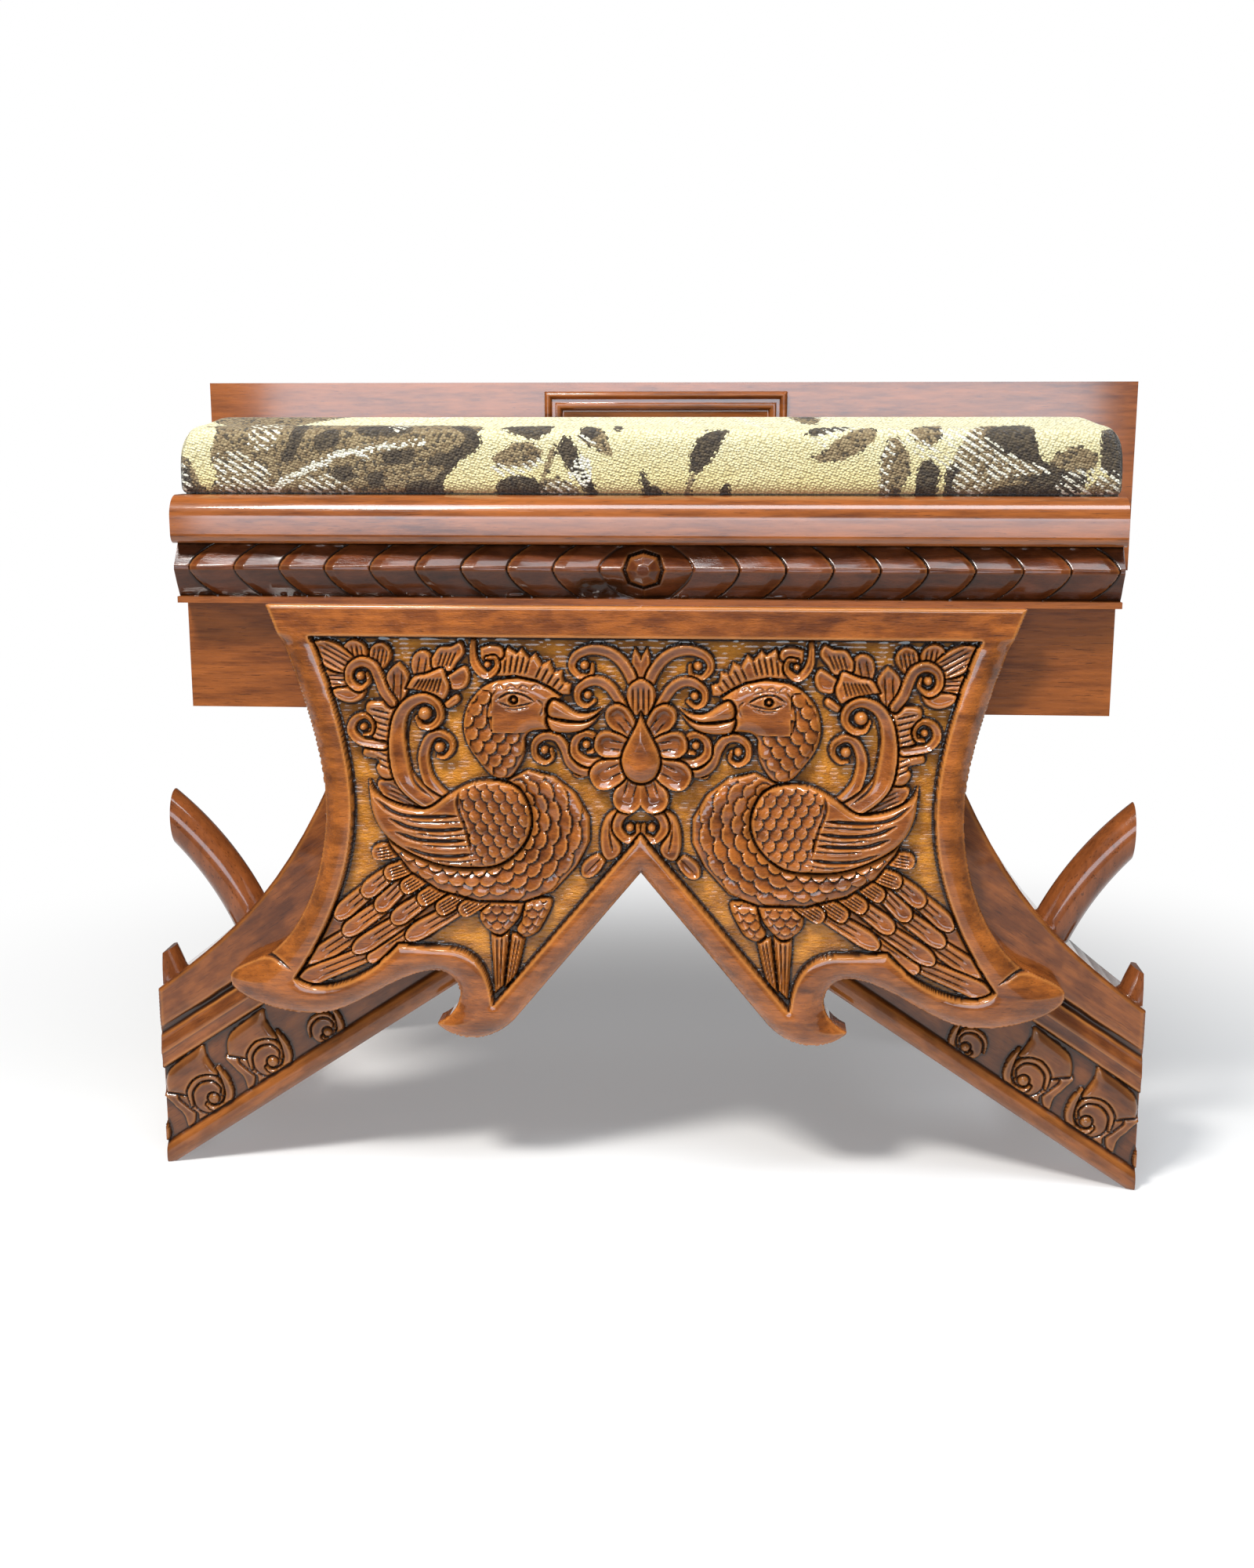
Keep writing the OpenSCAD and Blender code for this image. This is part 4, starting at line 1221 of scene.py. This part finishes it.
TAN_SHAPES = [
    [(-309, -3), (-307, 23), (-302, 26), (-293, 24), (-286, 17), (-283, 8), (-276, -3)],
    [(-272, 10), (-275, 24), (-271, 40), (-268, 48), (-115, 48), (-104, 37), (-105, 29), (-115, 23),
     (-121, 15), (-128, 6), (-126, -4), (-266, -4)],
    [(-96, 22), (-86, 30), (-74, 33), (-63, 28), (-67, 20), (-79, 16), (-91, 18)],
    [(-67, 10), (-54, 11), (-40, 4), (-44, -2), (-64, -2)],
    [(-64, 12), (-58, 29), (-54, 29), (-60, 12)],
    [(-40, 37), (-36, 46), (-28, 43), (-21, 33), (-19, 24), (-28, 27), (-37, 33)],
    [(25, -2), (30, 14), (33, 14), (29, -2)],
    [(103, 23), (113, 28), (124, 37), (140, 43), (145, 36), (138, 29), (128, 23), (114, 20)],
    [(147, -2), (147, 17), (150, 30), (155, 37), (164, 28), (166, 15), (160, 2), (156, -2)],
    [(165, 38), (172, 45), (185, 46), (184, 35), (177, 29), (170, 33)],
    [(196, -2), (190, 14), (196, 30), (208, 45), (222, 46), (240, 34), (250, 20), (270, 14),
     (262, 0), (240, -4)],
    [(250, 20), (256, 27), (270, 30), (280, 24), (276, 15), (262, 15)],
    [(272, -3), (278, 10), (290, 12), (299, 8), (299, -3)],
]
LIGHT_SHAPES = [
    [(-240, -2), (-231, 9), (-209, 20), (-184, 29), (-140, 34), (-140, 31), (-184, 25), (-208, 15),
     (-229, 5), (-234, -2)],
    [(-190, 26), (-180, 24), (-172, 20), (-173, 22), (-180, 27)],
    [(-47, 12), (-40, 24), (-33, 20), (-33, 8), (-36, 5)],
]
HATCH_SHAPES = [
    [(-304, 4), (-302, 22), (-294, 21), (-289, 6), (-292, -2)],
    [(-271, 4), (-272, 24), (-256, 26), (-239, 16), (-238, 3), (-254, -2)],
    [(-250, 29), (-249, 48), (-230, 48), (-236, 29)],
    [(-222, -2), (-216, 9), (-199, 12), (-186, 4), (-186, -2)],
    [(-96, 14), (-80, 12), (-62, 20), (-64, 23), (-80, 18), (-94, 19)],
    [(-66, 0), (-54, 9), (-40, 3), (-48, -2)],
    [(-40, 30), (-33, 32), (-22, 24), (-26, 28), (-34, 36), (-41, 38)],
    [(102, 34), (112, 30), (124, 38), (139, 44), (128, 45), (114, 40)],
    [(146, 4), (148, 22), (153, 34), (156, 30), (153, 14), (152, 0)],
    [(144, 40), (158, 43), (180, 29), (202, 24), (200, 15), (178, 21), (160, 33)],
    [(184, 44), (204, 46), (216, 33), (240, 20), (252, 15), (222, 11), (216, 4), (196, 2),
     (193, 13), (206, 22), (187, 33)],
    [(255, 4), (262, 14), (284, 17), (297, 9), (296, -2), (262, -2)],
]
# Flowers and leaves scattered over the top, back and ends, in rows on the unrolled cloth.
SPRAYS, SPRAY_COLUMNS = 64, 8
SPRAY_START, SPRAY_PITCH, SPRAY_STRAY = (-270, 84), (76, 50), 20
SPRAY_WIDEST, SPRAY_SCALE = 85, 1.15


def scattered(shapes, seed):
    """The front's own shapes again, turned and placed at random over the rest of the cloth."""
    chance = np.random.default_rng(seed)
    out = []
    for number in range(SPRAYS):
        shape = np.array(shapes[chance.integers(len(shapes))], float)
        size = min(1.0, SPRAY_WIDEST / np.ptp(shape[:, 0]))
        angle = chance.uniform(0, 2 * math.pi)
        turn = np.array([[math.cos(angle), math.sin(angle)], [-math.sin(angle), math.cos(angle)]])
        row, column = divmod(number, SPRAY_COLUMNS)
        spot = np.add(SPRAY_START, np.multiply(SPRAY_PITCH, (column, row)))
        spot = spot + chance.uniform(-SPRAY_STRAY, SPRAY_STRAY, 2)
        out.append((shape - shape.mean(axis=0)) @ turn * SPRAY_SCALE * size + spot)
    return out


def make_cushion():
    vertices, faces = cushion_base(5.0)
    filling = new_object("cushion_filling", vertices * MM, faces, foam_cells, body=None)
    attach(filling, "cushion")
    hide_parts("cushion_foam")
    vertices, faces = cushion_base(0.0)
    obj = new_object("cushion_upholstery", vertices * MM, faces, fabric, body=None)
    stuffed(obj)
    smooth = obj.modifiers.new("smooth", "SUBSURF")
    smooth.levels = smooth.render_levels = 1
    with bpy.context.temp_override(object=obj, active_object=obj, selected_objects=[obj]):
        bpy.ops.object.modifier_apply(modifier="smooth")
    mesh = obj.data
    mesh.shade_smooth()
    x, y, z = (np.array([v.co for v in mesh.vertices]) / MM).T
    y = np.where(z < RAIL_TOP - 0.5, np.maximum(y, HEEL_Y), y)
    z = np.where(y < HEEL_Y - 0.5, np.maximum(z, RAIL_TOP + 0.6), z)
    mesh.vertices.foreach_set("co", (np.stack([x, y, z], axis=1) * MM).astype(np.float32).ravel())
    rise = z - RAIL_TOP
    over = smooth_step((COVER_LOW[1] + COVER_HIGH[1]) / 2, COVER_HIGH[1] - 30, y)
    up = rise + 2 * over * (TOP_EDGE - rise) + np.clip(y - COVER_LOW[1] - 6, 0, None)
    on_end = smooth_step(0.6, 0.8, np.abs(np.array([v.normal.x for v in mesh.vertices])))
    up = np.where(on_end > 0.5, rise, up)
    x = x - np.sign(x) * on_end * (y - COVER_LOW[1])
    cloth = np.stack([x, up, 30 * on_end], axis=1) * MM
    layer = mesh.attributes.new("cloth", "FLOAT_VECTOR", "POINT")
    layer.data.foreach_set("vector", cloth.astype(np.float32).ravel())
    for name, shapes, seed in (("dark", DARK_SHAPES, 3), ("tan", TAN_SHAPES, 3),
                               ("light", LIGHT_SHAPES, 5), ("hatch", HATCH_SHAPES, 6)):
        field = np.full(len(x), -9.0)
        for shape in shapes + scattered(shapes, seed):
            shape = np.array(shape, float)
            reach = 9 + np.ptp(shape, axis=0) / 2
            middle = shape.min(axis=0) + np.ptp(shape, axis=0) / 2
            where = (np.abs(x - middle[0]) < reach[0]) & (np.abs(up - middle[1]) < reach[1])
            if where.any():
                field[where] = np.maximum(field[where], signed(x[where], up[where], shape))
        point_values(obj, name, field)
    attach(obj, "cushion")
    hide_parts("cushion_cover")


make_cushion()


# ------------------------------------------------------------------ floor, light and camera

FLOOR_RINGS, FLOOR_SPOKES = [0.35, 0.6, 0.9, 1.1], 64      # radii in metres
FLOOR_Z = -0.0005                                           # just below the feet


def make_stage():
    """A round floor that shows shadows near the object and fades into the white world."""
    turns = [2 * math.pi * k / FLOOR_SPOKES for k in range(FLOOR_SPOKES)]
    vertices = [(0, 0, FLOOR_Z)] + [(radius * math.cos(a), radius * math.sin(a), FLOOR_Z)
                                    for radius in FLOOR_RINGS for a in turns]
    around = [(k, (k + 1) % FLOOR_SPOKES) for k in range(FLOOR_SPOKES)]
    faces = [(0, 1 + k, 1 + m) for k, m in around]
    for ring in range(len(FLOOR_RINGS) - 1):
        a = 1 + ring * FLOOR_SPOKES
        b = a + FLOOR_SPOKES
        faces += [(a + k, b + k, b + m, a + m) for k, m in around]
    look = Look("studio_floor")
    glow = look.add("ShaderNodeEmission", {"Color": (1, 1, 1, 1), "Strength": 1.0})
    place = look.add("ShaderNodeTexCoord", {}, "Object")
    far = look.add("ShaderNodeVectorMath", {0: place}, "Value", operation="LENGTH")
    fade = look.add("ShaderNodeMapRange", {"Value": far, "From Min": 0.25, "From Max": 0.9,
                                           "To Min": 0.2}, interpolation_type="SMOOTHSTEP")
    both = look.add("ShaderNodeMixShader", {0: fade, 1: look.shader.outputs[0], 2: glow})
    look.put(look.tree.nodes["Material Output"], {"Surface": both})
    material = look.finish({"Base Color": (0.9, 0.9, 0.9, 1), "Roughness": 0.9})
    floor = new_object("studio_floor", vertices, faces, material, body=None)


def area_light(name, place, aim, size, power, colour):
    data = bpy.data.lights.new(name, "AREA")
    data.shape = "RECTANGLE"
    data.size, data.size_y = size
    data.energy = power
    data.color = colour
    lamp = bpy.data.objects.new(name, data)
    bpy.context.collection.objects.link(lamp)
    lamp.location = place
    lamp.rotation_euler = (Vector(aim) - Vector(place)).to_track_quat("-Z", "Y").to_euler()


WORLD_LIGHT = 0.16      # the white world's strength as light, against 1 as seen by the camera


def make_world():
    """White to the camera, and dimmer as light on the object, so the lamps model its carving."""
    world = bpy.data.worlds.new("studio_world")
    bpy.context.scene.world = world
    world.use_nodes = True
    light = Nodes(world.node_tree)
    seen = light.add("ShaderNodeLightPath", {}, "Is Camera Ray")
    strength = light.maths("MULTIPLY_ADD", seen, 1 - WORLD_LIGHT, WORLD_LIGHT)
    light.put(light.tree.nodes["Background"], {"Color": (1, 1, 1, 1), "Strength": strength})


make_stage()
make_world()
# name, place, aim, size in metres, watts, colour
area_light("key", (-0.55, -1.1, 1.75), (0, -0.15, 0.25), (0.35, 0.3), 34, (1.0, 0.97, 0.92))
area_light("sky", (0.15, -0.75, 1.75), (0, -0.15, 0.3), (1.5, 0.5), 21, (0.88, 0.94, 1.0))
area_light("window", (-0.1, -2.7, 0.62), (0, -0.15, 0.5), (2.0, 0.66), 26, (0.74, 0.87, 1.0))

camera_data = bpy.data.cameras.new("camera")
camera_data.sensor_width = 36
camera_data.lens = 39.6
camera = bpy.data.objects.new("camera", camera_data)
bpy.context.collection.objects.link(camera)
camera.location = (0.0667, -1.2391, 0.4994)
yaw, pitch = math.radians(4), math.radians(11.56)       # turned to the left, and down
aim = Vector((-math.sin(yaw) * math.cos(pitch), math.cos(yaw) * math.cos(pitch), -math.sin(pitch)))
camera.rotation_euler = aim.to_track_quat("-Z", "Y").to_euler()
bpy.context.scene.camera = camera
bpy.context.scene.view_settings.view_transform = "Standard"
